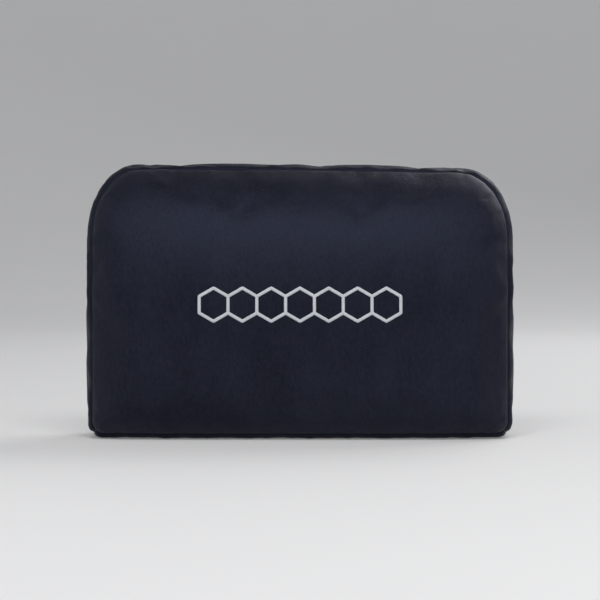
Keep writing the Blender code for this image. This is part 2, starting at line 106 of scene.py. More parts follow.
def outline(u, v, inset):
    """The cushion's outline seen from the front, for a point on the rim of a square of half side 1."""
    half_x, half_z = HALF_X - inset, HALF_Z - inset
    corner_x, corner_z = TOP_CORNER if v > 0 else FOOT_CORNER
    x, z = u * half_x, v * half_z
    past_x, past_z = abs(x) - half_x + corner_x, abs(z) - half_z + corner_z
    if past_x > 0 and past_z > 0:
        reach = math.hypot(past_x / corner_x, past_z / corner_z)
        x = math.copysign(half_x - corner_x + past_x / reach, x)
        z = math.copysign(half_z - corner_z + past_z / reach, z)
    return x, MID_Z + z


def inside(x, z, inset):
    """How far inside the outline a place seen from the front lies."""
    half_x, half_z = HALF_X - inset, HALF_Z - inset
    corner_x, corner_z = TOP_CORNER if z > MID_Z else FOOT_CORNER
    past_x, past_z = abs(x) - half_x + corner_x, abs(z - MID_Z) - half_z + corner_z
    if past_x > 0 and past_z > 0:
        reach = math.hypot(past_x / corner_x, past_z / corner_z)
        return (1 - reach) * (corner_x + corner_z) / 2
    return min(corner_x - past_x, corner_z - past_z)


def corner(reach, radius):
    """How far a rounded corner has turned in, at a place this far along from where it would end."""
    near = min(max(radius - reach, 0.0), radius)
    return radius - math.sqrt(radius * radius - near * near)


def crowded(t):
    """Places along a grid, from -1 to 1, drawn closer together towards its rims."""
    return math.sin(CROWDING * t) / math.sin(CROWDING)


def even_count(length, step):
    """An even number of steps along a length, so that a grid has a middle row."""
    return round(length / step / 2) * 2


def boxed_form(step, layer, front_round, back_round, back_in=0.0):
    """A closed boxed shape as a mesh of quads: six grids laid on the cushion and joined at their
    rims, where its seams are. layer is how deep under the cover it lies, and back_in is the same
    for its flat back. Each face keeps the number of its grid, as its region."""
    count_u = even_count(2 * HALF_X, step)
    count_v = even_count(2 * HALF_Z, step)
    count_w = even_count(STRIP_SHARE * DEEP, step)
    back_y = BACK_Y - back_in
    front_in = front_round * (1 - math.sin(FRONT_TURN))
    front_deep = front_round * (1 - math.cos(FRONT_TURN))
    back_seam_in = back_round * (1 - math.sin(BACK_TURN))
    back_seam_deep = back_round * (1 - math.cos(BACK_TURN))

    def flat(u, v, seam_in):
        """A place on the front or back: on this layer, on the skin above it, and from the seam in."""
        scale = max(abs(u), abs(v), 1e-9)
        rim_x, rim_z = outline(u / scale, v / scale, seam_in)
        x, z = outline(u / scale, v / scale, seam_in + layer)
        skin_x, skin_z = rim_x * scale, MID_Z + (rim_z - MID_Z) * scale
        from_edge = max(inside(skin_x, skin_z, seam_in), 0.0) + seam_in
        return x * scale, MID_Z + (z - MID_Z) * scale, skin_x, skin_z, from_edge

    def front(u, v):
        x, z, skin_x, skin_z, from_edge = flat(u, v, front_in)
        return Vector((x, crown_y(skin_x, skin_z) + corner(from_edge, front_round) + layer, z))

    def back(u, v):
        x, z, _, _, from_edge = flat(u, v, back_seam_in)
        return Vector((x, back_y - corner(from_edge, back_round), z))

    def side(u, v, w):
        start = crown_y(*outline(u, v, front_in)) + front_deep + layer
        end = back_y - back_seam_deep
        y = start + (1 + w) / 2 * (end - start)
        inset = corner(y - start + front_deep, front_round) + corner(end - y + back_seam_deep, back_round)
        x, z = outline(u, v, inset + layer)
        return Vector((x, y, z))

    places = (
        (count_u, count_v, lambda u, v: front(crowded(u), crowded(v))),
        (count_u, count_v, lambda u, v: back(crowded(u), crowded(v))),
        (count_u, count_w, lambda u, w: side(crowded(u), 1, w)),
        (count_u, count_w, lambda u, w: side(crowded(u), -1, w)),
        (count_v, count_w, lambda v, w: side(1, crowded(v), w)),
        (count_v, count_w, lambda v, w: side(-1, crowded(v), w)),
    )
    bm = bmesh.new()
    region = bm.faces.layers.int.new("region")
    for number, (across, along, place) in enumerate(places):
        made = bmesh.ops.create_grid(bm, x_segments=across, y_segments=along, size=1)
        for vert in made["verts"]:
            vert.co = place(vert.co.x, vert.co.y)
        for face in {f for vert in made["verts"] for f in vert.link_faces}:
            face[region] = number
    bmesh.ops.remove_doubles(bm, verts=bm.verts, dist=step / 40)
    bmesh.ops.recalc_face_normals(bm, faces=bm.faces)
    return bm


def add_mesh(bm, name):
    """A finished bmesh as a smooth object in the scene."""
    mesh = bpy.data.meshes.new(name)
    bm.to_mesh(mesh)
    bm.free()
    mesh.shade_smooth()
    made = bpy.data.objects.new(name, mesh)
    bpy.context.scene.collection.objects.link(made)
    return made


class Amount:
    """A number that varies over a surface. Sums on it add Math nodes to the nodes it comes from."""

    def __init__(self, nodes, socket):
        self.nodes = nodes
        self.socket = socket

    def sum(self, operation, first, second):
        settings = {"operation": operation}
        return self.nodes.node("ShaderNodeMath", settings, {0: first, 1: second})

    def __add__(self, other):
        return self.sum("ADD", self, other)

    def __radd__(self, other):
        return self.sum("ADD", other, self)

    def __mul__(self, other):
        return self.sum("MULTIPLY", self, other)

    def __rmul__(self, other):
        return self.sum("MULTIPLY", other, self)


class Nodes:
    """The nodes of a material or of the room. Every one that is added comes from the method node."""

    def __init__(self, owner, shader):
        owner.use_nodes = True
        self.tree = owner.node_tree
        self.shader = self.tree.nodes[shader]

    def node(self, kind, settings=None, values=None, output=0):
        """Add a node: its settings first, then a value or a link for each named socket."""
        made = self.tree.nodes.new(kind)
        for setting, value in (settings or {}).items():
            setattr(made, setting, value)
        for place, value in (values or {}).items():
            if isinstance(value, Amount):
                self.tree.links.new(value.socket, made.inputs[place])
            else:
                made.inputs[place].default_value = value
        return Amount(self, made.outputs[output])

    def blend(self, share, first, second):
        """A colour between two, the second where share is 1. Mix has its colours at 6 and 7."""
        settings = {"data_type": "RGBA"}
        return self.node("ShaderNodeMix", settings, {0: share, 6: first, 7: second}, output=2)

    def limits(self, value, low, high, settings=None):
        """The value's range from low to high, spread over 0 to 1 and held there."""
        values = {"Value": value, "From Min": low, "From Max": high}
        return self.node("ShaderNodeMapRange", settings, values)

    def feed(self, quality, value):
        """Let a value or colour set one of the shader's qualities."""
        self.tree.links.new(value.socket, self.shader.inputs[quality])


class Finish(Nodes):
    """A material for one kind of surface. Fixed qualities go straight on its shader."""

    def __init__(self, name, **fixed):
        self.material = bpy.data.materials.new(name)
        super().__init__(self.material, "Principled BSDF")
        for quality, value in fixed.items():
            socket = self.shader.inputs[quality.replace("_", " ").title().replace("Ior", "IOR")]
            socket.default_value = value

    def place(self):
        """Where the surface is, in metres, fixed to the piece."""
        return self.node("ShaderNodeTexCoord", output="Object")

    def bands(self, place, scale, settings=None):
        """Regular ridges, as of threads."""
        values = {"Vector": place, "Scale": scale}
        return self.node("ShaderNodeTexWave", {"wave_type": "BANDS"} | (settings or {}), values)

    def stretched(self, place, scale):
        """The place, scaled apart along each axis."""
        settings = {"operation": "MULTIPLY"}
        return self.node("ShaderNodeVectorMath", settings, {0: place, 1: scale})

    def grain(self, place, scale, detail=2.0, rough=0.5):
        """Soft noise about 0.5, with this many grains to the metre."""
        values = {"Vector": place, "Scale": scale, "Detail": detail, "Roughness": rough}
        return self.node("ShaderNodeTexNoise", None, values)

    def relief(self, height, strength, distance):
        """Raise the surface by a height in shares of a distance in metres."""
        values = {"Height": height, "Strength": strength, "Distance": distance}
        self.feed("Normal", self.node("ShaderNodeBump", None, values))

    def put_on(self, piece):
        piece.data.materials.clear()
        piece.data.materials.append(self.material)


foam_finish = Finish("memory_foam_skin", roughness=0.85, specular_ior_level=0.25)
where = foam_finish.place()
pores = foam_finish.node("ShaderNodeTexVoronoi", None, {"Vector": where, "Scale": 900.0})
mottle = foam_finish.grain(where, 25.0, 3.0)
foam_finish.feed("Base Color", foam_finish.blend(mottle, (0.83, 0.78, 0.62, 1), (0.70, 0.63, 0.47, 1)))
foam_finish.relief(pores, 0.5, 0.0004)

FOAM_UNDER = 0.0065  # under the cover's surface
FOAM_ROUND = (0.020, 0.014)  # radii of its front and back edges
FOAM_STEP = 0.010  # the size of its mesh's faces
foam_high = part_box("foam_core")[1]
foam = add_mesh(boxed_form(FOAM_STEP, FOAM_UNDER, *FOAM_ROUND, back_in=BACK_Y - foam_high.y), "foam_block")
foam_finish.put_on(foam)
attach(foam, "cushion")
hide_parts("foam_core")


# ---- Inner liner -----------------------------------------------------------------------------
# A thin knitted polyester bag keeps the foam clean and lets the cover slide on over it. It is sewn
# on three sides and left open at a slit across its back.

LINER_UNDER = 0.0050
LINER_STEP = 0.008
LINER_THICK = 0.0006
SLIT_Z = 0.075
SLIT_HALF = 0.090
liner_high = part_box("inner_liner")[1]
bm = boxed_form(LINER_STEP, LINER_UNDER, *FOAM_ROUND, back_in=BACK_Y - liner_high.y)
slit_row = [
    face
    for face in bm.faces
    if face[bm.faces.layers.int["region"]] == BACK
    and min(v.co.z for v in face.verts) < SLIT_Z <= max(v.co.z for v in face.verts)
    and max(abs(v.co.x) for v in face.verts) < SLIT_HALF
]
bmesh.ops.delete(bm, geom=slit_row, context="FACES")
liner = add_mesh(bm, "liner_bag")
skin = liner.modifiers.new("cloth_thickness", "SOLIDIFY")
skin.thickness = LINER_THICK
skin.offset = -1

liner_finish = Finish("liner_knit", roughness=0.8, sheen_weight=0.2, specular_ior_level=0.3)
where = liner_finish.place()
loops = liner_finish.bands(where, 350.0)
cloudy = liner_finish.grain(where, 40.0)
liner_finish.feed("Base Color", liner_finish.blend(cloudy, (0.80, 0.80, 0.79, 1), (0.68, 0.68, 0.67, 1)))
liner_finish.relief(loops, 0.4, 0.0003)
liner_finish.put_on(liner)
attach(liner, "cushion")
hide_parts("inner_liner")


# ---- Sewn cover ------------------------------------------------------------------------------
# Five pieces of short-pile navy velour: a crowned front, one strip round both sides and the top, an
# underside, and two back pieces with the zip between. They are sewn inside out, so each seam is a
# plain valley with small puckers, and the cloth is drawn over the foam with a little slack.

CLOTH = 0.0010
STEP = 0.004
FRONT_ROUND = 0.020
BACK_ROUND = 0.012
SLACK = 0.012  # the cloth is this share bigger than the foam's form
MOST_SHIFT = 0.0045  # how far the cloth may settle from that form
BACK_TAKES = 0.15  # the back lies flat against a chair, and takes this share of the slack
FLAT_HOLD = 0.8  # how firmly the back and the underside stay put in the simulation
SLUMP = 0.0028  # the top has slumped by this much towards its +X end
VALLEY_DEEP = 0.0013
VALLEY_WIDE = 0.0022
PUCKER_HIGH = 0.0008
PUCKER_LONG = 0.011  # they run this far from the seam
PUCKERS, FINE_PUCKERS = 95.0, 210.0  # how close they lie along the seams
SEAM_LINE = 0.003  # from the seam to where its puckers are full
SEAM_SHADE = 0.004  # how far from the seam the painted shade along it reaches
ZIP_Z = (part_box("zip_coil_upper")[0].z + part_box("zip_coil_lower")[1].z) / 2
SLOT_HALF = 0.0068  # from the zip's middle to each folded edge
SLOT_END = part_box("zip_tape_upper")[1].x + 0.001

bm = boxed_form(STEP, 0.0, FRONT_ROUND, BACK_ROUND)
piece_of = bm.faces.layers.int["region"]
for face in bm.faces:
    if face[piece_of] in (RIGHT, LEFT):
        face[piece_of] = TOP  # one strip goes round all three sides


def on_seam(vert):
    """Whether a point lies where two pieces of the cover meet."""
    return len({face[piece_of] for face in vert.link_faces}) > 1


def held_share(vert):
    """How firmly a point stays put: seams wholly, the flat back and underside nearly."""
    if on_seam(vert):
        return 1.0
    return FLAT_HOLD if all(face[piece_of] in (BACK, FOOT) for face in vert.link_faces) else 0.0


holds = [held_share(vert) for vert in bm.verts]
form = add_mesh(bm, "cover_form")


def settle(obj, holds, frames=20):
    """Cloth simulation: the slack and the foam's push find their own soft hollows and swells."""
    pins = obj.vertex_groups.new(name="holds")
    for index, hold in enumerate(holds):
        pins.add([index], hold, "REPLACE")
    modifier = obj.modifiers.new("drape", "CLOTH")
    cloth = modifier.settings
    cloth.mass = 0.25
    cloth.tension_stiffness = cloth.compression_stiffness = 25
    cloth.shear_stiffness = 10
    cloth.bending_stiffness = 0.6
    cloth.use_pressure = True
    cloth.uniform_pressure_force = 2.0
    cloth.shrink_min = -SLACK
    cloth.vertex_group_mass = pins.name
    cloth.effector_weights.gravity = 0.0
    modifier.point_cache.frame_start = 1
    modifier.point_cache.frame_end = frames
    for number in range(1, frames + 1):
        bpy.context.scene.frame_set(number)
    settled = obj.evaluated_get(bpy.context.evaluated_depsgraph_get())
    points = np.array([v.co for v in settled.data.vertices])
    obj.modifiers.remove(modifier)
    bpy.context.scene.frame_set(1)
    return points


points = np.array([v.co for v in form.data.vertices])
shift = settle(form, holds) - points
shift[points[:, 1] > BACK_Y - 0.001] *= BACK_TAKES
far = np.linalg.norm(shift, axis=1, keepdims=True)
points = points + shift * MOST_SHIFT / (MOST_SHIFT + far)

# The top slumps most at its +X end, and the lower half hardly at all
towards = np.clip(points[:, 0] / HALF_X + 0.2, 0, 1) ** 1.5
raised = np.clip((points[:, 2] - FOOT_Z) / (2 * HALF_Z), 0, 1) ** 3
points[:, 2] -= SLUMP * towards * raised
form.data.vertices.foreach_set("co", points.ravel())

finer = form.modifiers.new("finer", "SUBSURF")
finer.levels = finer.render_levels = 1
sewn = bpy.data.meshes.new_from_object(form.evaluated_get(bpy.context.evaluated_depsgraph_get()))
bpy.data.objects.remove(form)
bm = bmesh.new()
bm.from_mesh(sewn)
piece_of = bm.faces.layers.int["region"]


# The two back pieces part at the zip: cut the flat back along the slot's folded edges
def cut_back(bm, point, normal):
    """Cut the back's faces along a plane, without parting them."""
    faces = [face for face in bm.faces if face[piece_of] == BACK]
    around = {edge for face in faces for edge in face.edges} | {v for face in faces for v in face.verts}
    bmesh.ops.bisect_plane(bm, geom=faces + list(around), dist=1e-6, plane_co=point, plane_no=normal)


for height in (ZIP_Z - SLOT_HALF, ZIP_Z, ZIP_Z + SLOT_HALF):
    cut_back(bm, (0, 0, height), (0, 0, 1))
for end in (-SLOT_END, SLOT_END):
    cut_back(bm, (end, 0, 0), (1, 0, 0))

# Pull the seams in, with puckers across them, and keep how near each point is to its seam, for the shade
# painted along the seams
seam_points = [vert.co.copy() for vert in bm.verts if on_seam(vert)]
seam_points += [
    vert.co.copy()
    for vert in bm.verts
    if abs(vert.co.z - ZIP_Z) < 1e-5 and vert.co.y > BACK_Y - 0.004 and abs(vert.co.x) > SLOT_END - 1e-5
]
seams = kdtree.KDTree(len(seam_points))
for index, point in enumerate(seam_points):
    seams.insert(point, index)
seams.balance()
seam_painted_shade_layer = bm.verts.layers.float.new("seam")
bm.normal_update()
drop = {}
for vert in bm.verts:
    nearest, _, gap = seams.find(vert.co)
    valley = VALLEY_DEEP * math.exp(-((gap / VALLEY_WIDE) ** 2))
    gather = noise.noise(nearest * PUCKERS) + 0.5 * noise.noise(nearest * FINE_PUCKERS)
    fade = math.exp(-((gap / PUCKER_LONG) ** 2)) * min(1.0, gap / SEAM_LINE)
    pucker = PUCKER_HIGH * gather * fade
    if vert.co.y > BACK_Y - 0.0005:
        pucker = -abs(pucker)  # the back stays under the straps and the label
    drop[vert] = valley - pucker
    # painted shade: how near the seam each point is, used to darken the cloth's colour there
    vert[seam_painted_shade_layer] = math.exp(-gap / SEAM_SHADE)
for vert, depth in drop.items():
    vert.co -= vert.normal * depth


def name_of(face):
    """Which piece of the cover a face belongs to, or None in the zip's slot."""
    if face[piece_of] != BACK:
        return {FRONT: "front_panel", TOP: "side_strip", FOOT: "bottom_panel"}[face[piece_of]]
    middle = face.calc_center_median()
    past = middle.z - ZIP_Z
    if abs(past) < SLOT_HALF and abs(middle.x) < SLOT_END:
        return None
    return "back_panel_upper" if past > 0 else "back_panel_lower"


# Steps of the fold: how deep under the cloth, and how far from the slot's edge
HEM = ((0.0003, -0.0004), (0.0010, -0.0006), (0.0017, -0.0004), (0.0021, 0.0), (0.0021, 0.0060))


def fold_hem(bm, up):
    """Turn a back piece's edge in along the zip: each step goes deeper, then away behind the cloth."""
    edge_z = ZIP_Z + up * SLOT_HALF
    rim = [
        edge
        for edge in bm.edges
        if edge.is_boundary
        and all(abs(v.co.z - edge_z) < 1e-4 and abs(v.co.x) < SLOT_END + 1e-4 for v in edge.verts)
    ]
    places = {vert: vert.co.copy() for edge in rim for vert in edge.verts}
    for deeper, away in HEM:
        made = bmesh.ops.extrude_edge_only(bm, edges=rim)["geom"]
        moved = {}
        for vert in (v for v in made if isinstance(v, bmesh.types.BMVert)):
            start = min(places.values(), key=lambda p: abs(p.x - vert.co.x))
            vert.co = start + Vector((0, -deeper, up * away))
            moved[vert] = start
        places = moved
        rim = [e for e in made if isinstance(e, bmesh.types.BMEdge)]


velour = Finish(
    "navy_velour",
    roughness=0.5,
    specular_ior_level=0.20,
    specular_tint=(0.55, 0.62, 1.0, 1),
)
where = velour.place()
pile = velour.grain(where, 1300.0, 3.0, 0.65)
tufts = velour.grain(velour.stretched(where, (480.0, 480.0, 230.0)), 1.0, 2.0, 0.6)
brushed = velour.grain(velour.stretched(where, (70.0, 70.0, 24.0)), 1.0, 3.0)
nap = velour.limits(velour.grain(where, 14.0, 3.0), 0.35, 0.65)
seam_painted_shade = velour.node("ShaderNodeAttribute", {"attribute_name": "seam"}, output="Fac")
shade = velour.limits(nap * 0.10 + brushed * 0.20 + tufts * 0.30 + pile * 0.40, 0.34, 0.66)
cloth_colour = velour.blend(shade, (0.0038, 0.0043, 0.0080, 1), (0.0150, 0.0165, 0.0268, 1))
# Painted shade: the cloth's colour darkens close to every seam, standing in for the shadow in its groove
velour.feed("Base Color", velour.blend(seam_painted_shade * 0.3, cloth_colour, (0.0026, 0.0030, 0.0056, 1)))
velour.feed("Roughness", 0.36 + nap * 0.06 + brushed * 0.14 + pile * 0.10)
velour.relief(pile * 0.45 + tufts * 0.55, 0.5, 0.0007)

faces_of = {}
for face in bm.faces:
    faces_of.setdefault(name_of(face), []).append(face.index)
bm.normal_update()
bm.to_mesh(sewn)
bm.free()
cover = {}
for node in ("front_panel", "side_strip", "bottom_panel", "back_panel_upper", "back_panel_lower"):
    bm = bmesh.new()
    bm.from_mesh(sewn)
    keep = set(faces_of[node])
    bmesh.ops.delete(bm, geom=[face for face in bm.faces if face.index not in keep], context="FACES")
    if node.startswith("back"):
        fold_hem(bm, 1 if node.endswith("upper") else -1)
    panel = add_mesh(bm, node + "_velour")
    skin = panel.modifiers.new("cloth_thickness", "SOLIDIFY")
    skin.thickness = CLOTH
    skin.offset = -1
    velour.put_on(panel)
    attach(panel, "cushion")
    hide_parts(node)
    cover[node] = panel


# ---- Front embroidery ------------------------------------------------------------------------
# A row of joined hexagon outlines in pale polyester thread, satin-stitched through the front cloth:
# each side is a raised bar of close threads that lie across it and pull into the cloth at its edges.

stitch_low, stitch_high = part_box("front_embroidery")
HEX_COUNT = 7
HEX_ROW_Z = (stitch_low.z + stitch_high.z) / 2
BAR_HALF = 0.00135
BAR_HIGH = 0.00055
BAR_FULLNESS = 2.6  # the power of its cross-section's curve: 2 would be a parabola
BAR_COLUMNS = 8
THREAD = 0.00060  # from one thread to the next
THREAD_ROWS = 6  # of points, over one thread
THREAD_SLANT = 0.35  # of a thread's width, from a bar's middle to its edge
RIDGE = 0.00016  # how proud each thread stands of the next hollow
SUNK = 0.0004  # how far a bar's edges pull into the cloth
HEX_RADIUS = (stitch_high.z - stitch_low.z) / 2 - BAR_HALF
HEX_PITCH = HEX_RADIUS * math.sqrt(3)

front_tree = BVHTree.FromObject(cover["front_panel"], bpy.context.evaluated_depsgraph_get())


def on_front(x, z):
    """The front cloth's surface in front of a place."""
    return front_tree.ray_cast(Vector((x, -1, z)), Vector((0, 1, 0)))[0]


def hexagon_sides():
    """Each side once, though neighbours share the upright ones, as two ends in X and Z."""
    sides = {}
    for number in range(HEX_COUNT):
        middle = (number - (HEX_COUNT - 1) / 2) * HEX_PITCH
        turns = [math.radians(90 + 60 * k) for k in range(7)]
        ends = [(middle + HEX_RADIUS * math.cos(a), HEX_RADIUS * math.sin(a)) for a in turns]
        for one, other in zip(ends, ends[1:]):
            key = round((one[0] + other[0]) * 1e4), round((one[1] + other[1]) * 1e4)
            sides.setdefault(key, (Vector(one), Vector(other)))
    return sides.values()


def satin_bar(bm, one, other):
    """One closed bar of threads from end to end, laid on the cloth and sunk into it at its edges."""
    along = (other - one).normalized()
    across = Vector((-along.y, along.x))
    run = (other - one).length + BAR_HALF
    rows = round(run / THREAD * THREAD_ROWS)
    rings = []
    for i in range(rows + 1):
        far = i / rows * run - BAR_HALF / 2
        from_end = min(i, rows - i) / rows * run
        taper = math.sqrt(min(1.0, from_end / BAR_HALF + 0.05))
        ring = []
        for j in range(BAR_COLUMNS + 1):
            s = 2 * j / BAR_COLUMNS - 1
            place = one + along * far + across * s * BAR_HALF * (0.75 + 0.25 * taper)
            thread = abs(math.sin(math.pi * (far + THREAD_SLANT * s * THREAD) / THREAD))
            high = BAR_HIGH * taper * (1 - abs(s) ** BAR_FULLNESS) + RIDGE * (thread - 0.5)
            if abs(s) == 1:
                high -= SUNK
            cloth = on_front(place.x, HEX_ROW_Z + place.y)
            ring.append(bm.verts.new(cloth - Vector((0, high, 0))))
        rings.append(ring)
    for ring, following in zip(rings, rings[1:]):
        for j in range(BAR_COLUMNS):
            bm.faces.new((ring[j], following[j], following[j + 1], ring[j + 1]))
        bm.faces.new((ring[-1], following[-1], following[0], ring[0]))
    bm.faces.new(rings[0])
    bm.faces.new(rings[-1][::-1])


bm = bmesh.new()
for one, other in hexagon_sides():
    satin_bar(bm, one, other)
bmesh.ops.recalc_face_normals(bm, faces=bm.faces)
embroidery = add_mesh(bm, "hexagon_embroidery")

thread_finish = Finish(
    "pale_thread", roughness=0.4, specular_ior_level=0.5, sheen_weight=0.25, sheen_roughness=0.3
)
where = thread_finish.place()
strand = thread_finish.grain(where, 5200.0, 2.0)
dusty = thread_finish.grain(where, 120.0, 3.0)
lustre = strand * 0.6 + dusty * 0.4
thread_finish.feed("Base Color", thread_finish.blend(lustre, (0.42, 0.45, 0.49, 1), (0.72, 0.74, 0.78, 1)))
thread_finish.feed("Roughness", 0.34 + strand * 0.18)
thread_finish.relief(strand, 0.6, 0.0002)
thread_finish.put_on(embroidery)
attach(embroidery, "cushion")
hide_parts("front_embroidery")


# ---- Zip -------------------------------------------------------------------------------------
# A coil zip set low in the back, so the cover comes off for washing: two woven tapes sewn behind
# the folded edges, a nylon coil on each, a painted slider with its pull, and a stop at each end.


def swept(bm, profile, stations):
    """A closed bar: a ring of (across, out) points, carried along a list of placing functions."""
    rings = [[bm.verts.new(place(a, b)) for a, b in profile] for place in stations]
    for ring, following in zip(rings, rings[1:]):
        for i, vert in enumerate(ring):
            after = (i + 1) % len(ring)
            bm.faces.new((vert, following[i], following[after], ring[after]))
    bm.faces.new(rings[0])
    bm.faces.new(rings[-1][::-1])
    bmesh.ops.recalc_face_normals(bm, faces=bm.faces)


TAPE_THICK = 0.0007
TAPE_ROWS = 160
TAPE_PAST = 0.004  # the tapes run on behind the cloth at the slot's ends
STOPS_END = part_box("zip_bottom_stop")[1].x
TAPES_MEET = 0.003  # past the stops, the run in which the tapes draw together
BEAD = 0.0012  # a corded edge beside the coil
tape_finish = Finish("woven_tape", roughness=0.75, specular_ior_level=0.25)
where = tape_finish.place()
twill = tape_finish.bands(where, 420.0, {"bands_direction": "DIAGONAL"})
fluff = tape_finish.grain(where, 900.0)
weave = twill * 0.6 + fluff * 0.4
tape_finish.feed("Base Color", tape_finish.blend(weave, (0.006, 0.0065, 0.011, 1), (0.018, 0.019, 0.028, 1)))
tape_finish.relief(twill, 0.6, 0.0002)

for side, up in (("upper", 1), ("lower", -1)):
    low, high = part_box(f"zip_tape_{side}")
    inner, outer = (low.z, high.z) if up > 0 else (high.z, low.z)
    wide = high.z - low.z
    profile = [(0, 0.0002), (0.0003, 0), (BEAD, 0), (BEAD * 1.4, 0.0002)]
    profile += [(wide, 0.0002), (wide, TAPE_THICK), (0, TAPE_THICK)]
    stations = []
    for x in np.linspace(low.x - TAPE_PAST, high.x + TAPE_PAST, TAPE_ROWS):
        shut = min(max((abs(x) - STOPS_END) / TAPES_MEET, 0.0), 1.0)
        edge = inner + (ZIP_Z + up * 0.0001 - inner) * shut * shut * (3 - 2 * shut)
        scale = abs(outer - edge) / wide
        stations.append(
            lambda a, b, x=x, edge=edge, scale=scale: Vector((x, high.y - b, edge + up * a * scale))
        )
    bm = bmesh.new()
    swept(bm, profile, stations)
    tape = add_mesh(bm, f"woven_tape_{side}")
    tape.data.set_sharp_from_angle(angle=math.radians(50))
    tape_finish.put_on(tape)
    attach(tape, "cushion")
    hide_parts(f"zip_tape_{side}")

COIL_PITCH = 0.0013
WIRE = 0.00033  # the coil wire's radius
WIRE_SIDES = 5
LOOP_POINTS = 10
COIL_OVERLAP = 0.00015  # how far each coil's loops pass the middle, between the other's
coil_finish = Finish("nylon_coil", roughness=0.35, specular_ior_level=0.5)
where = coil_finish.place()
drawn = coil_finish.grain(where, 1500.0)
coil_finish.feed("Base Color", coil_finish.blend(drawn, (0.010, 0.010, 0.014, 1), (0.022, 0.022, 0.028, 1)))
coil_finish.feed("Roughness", 0.28 + drawn * 0.2)
coil_finish.relief(drawn, 0.2, 0.0001)

for side, up in (("upper", 1), ("lower", -1)):
    low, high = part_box(f"zip_coil_{side}")
    out_z = high.z if up > 0 else low.z
    reach = abs(out_z - ZIP_Z)
    middle_z = ZIP_Z + up * (reach / 2 - COIL_OVERLAP)
    half_wide = reach / 2 + COIL_OVERLAP - WIRE
    half_high = (high.y - low.y) / 2 - WIRE
    middle_y = (low.y + high.y) / 2
    turns = int((high.x - low.x - 2 * WIRE) / COIL_PITCH - 0.5)
    start_x = low.x + WIRE + (COIL_PITCH / 2 if up < 0 else 0)
    bm = bmesh.new()
    stations = []
    for step in range(turns * LOOP_POINTS + 1):
        angle = 2 * math.pi * step / LOOP_POINTS
        x = start_x + COIL_PITCH * step / LOOP_POINTS
        out = Vector((0, math.sin(angle), up * math.cos(angle)))
        centre = Vector((x, middle_y + half_high * out.y, middle_z + half_wide * out.z))
        stations.append(lambda a, b, c=centre, out=out: c + Vector((a, 0, 0)) + out * b)
    wire = [math.radians(360 * k / WIRE_SIDES) for k in range(WIRE_SIDES)]
    swept(bm, [(WIRE * math.cos(a), WIRE * math.sin(a)) for a in wire], stations)
    coil = add_mesh(bm, f"nylon_coil_{side}")
    coil_finish.put_on(coil)
    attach(coil, "cushion")
    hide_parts(f"zip_coil_{side}")
    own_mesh(coil)

metal = Finish("painted_metal", metallic=0.9, specular_ior_level=0.5)
where = metal.place()
speckle = metal.grain(where, 3000.0, 2.0)
worn = metal.limits(metal.grain(where, 260.0, 4.0), 0.55, 0.75)
metal.feed("Base Color", metal.blend(worn * 0.5, (0.075, 0.075, 0.080, 1), (0.24, 0.24, 0.245, 1)))
metal.feed("Roughness", 0.32 + speckle * 0.16)
metal.relief(speckle, 0.15, 0.0001)


def rounded_plate(name, loops, y_low, y_high, edge):
    """A flat plate across the back with rounded edges, from an outline and any holes in X and Z."""
    curve = bpy.data.curves.new(name, "CURVE")
    curve.dimensions = "2D"
    curve.fill_mode = "BOTH"
    curve.extrude = (y_high - y_low) / 2 - edge
    curve.bevel_depth = edge
    curve.bevel_resolution = 2
    curve.offset = -edge
    for number, loop in enumerate(loops):
        area = sum(a[0] * b[1] - b[0] * a[1] for a, b in zip(loop, loop[1:] + loop[:1]))
        if (area > 0) == (number > 0):  # the outline runs anticlockwise and its holes clockwise
            loop = loop[::-1]
        spline = curve.splines.new("POLY")
        spline.points.add(len(loop) - 1)
        for point, (x, z) in zip(spline.points, loop):
            point.co = (x, z, 0, 1)
        spline.use_cyclic_u = True
    guide = bpy.data.objects.new(name, curve)
    bpy.context.scene.collection.objects.link(guide)
    shape = guide.evaluated_get(bpy.context.evaluated_depsgraph_get())
    mesh = bpy.data.meshes.new_from_object(shape)
    bpy.data.objects.remove(guide)
    mesh.transform(Matrix.Translation((0, (y_low + y_high) / 2, 0)) @ Matrix.Rotation(math.pi / 2, 4, "X"))
    bm = bmesh.new()
    bm.from_mesh(mesh)
    bpy.data.meshes.remove(mesh)
    bmesh.ops.remove_doubles(bm, verts=bm.verts, dist=1e-6)
    bmesh.ops.recalc_face_normals(bm, faces=bm.faces)
    return bm


def rounded_box(x, z, radius, points=5):
    """A rectangle's outline between two X and two Z values, with round corners."""
    loop = []
    for number, (cx, cz) in enumerate(((x[1], z[1]), (x[0], z[1]), (x[0], z[0]), (x[1], z[0]))):
        mx = cx - radius if number in (0, 3) else cx + radius
        mz = cz - radius if number in (0, 1) else cz + radius
        for k in range(points):
            a = math.radians(90 * number + 90 * k / (points - 1))
            loop.append((mx + radius * math.cos(a), mz + radius * math.sin(a)))
    return loop


def joined(name, shapes):
    """Several closed shapes as one piece."""
    bm = bmesh.new()
    for shape in shapes:
        mesh = bpy.data.meshes.new(name)
        shape.to_mesh(mesh)
        shape.free()
        bm.from_mesh(mesh)
        bpy.data.meshes.remove(mesh)
    made = add_mesh(bm, name)
    made.data.set_sharp_from_angle(angle=math.radians(35))
    return made


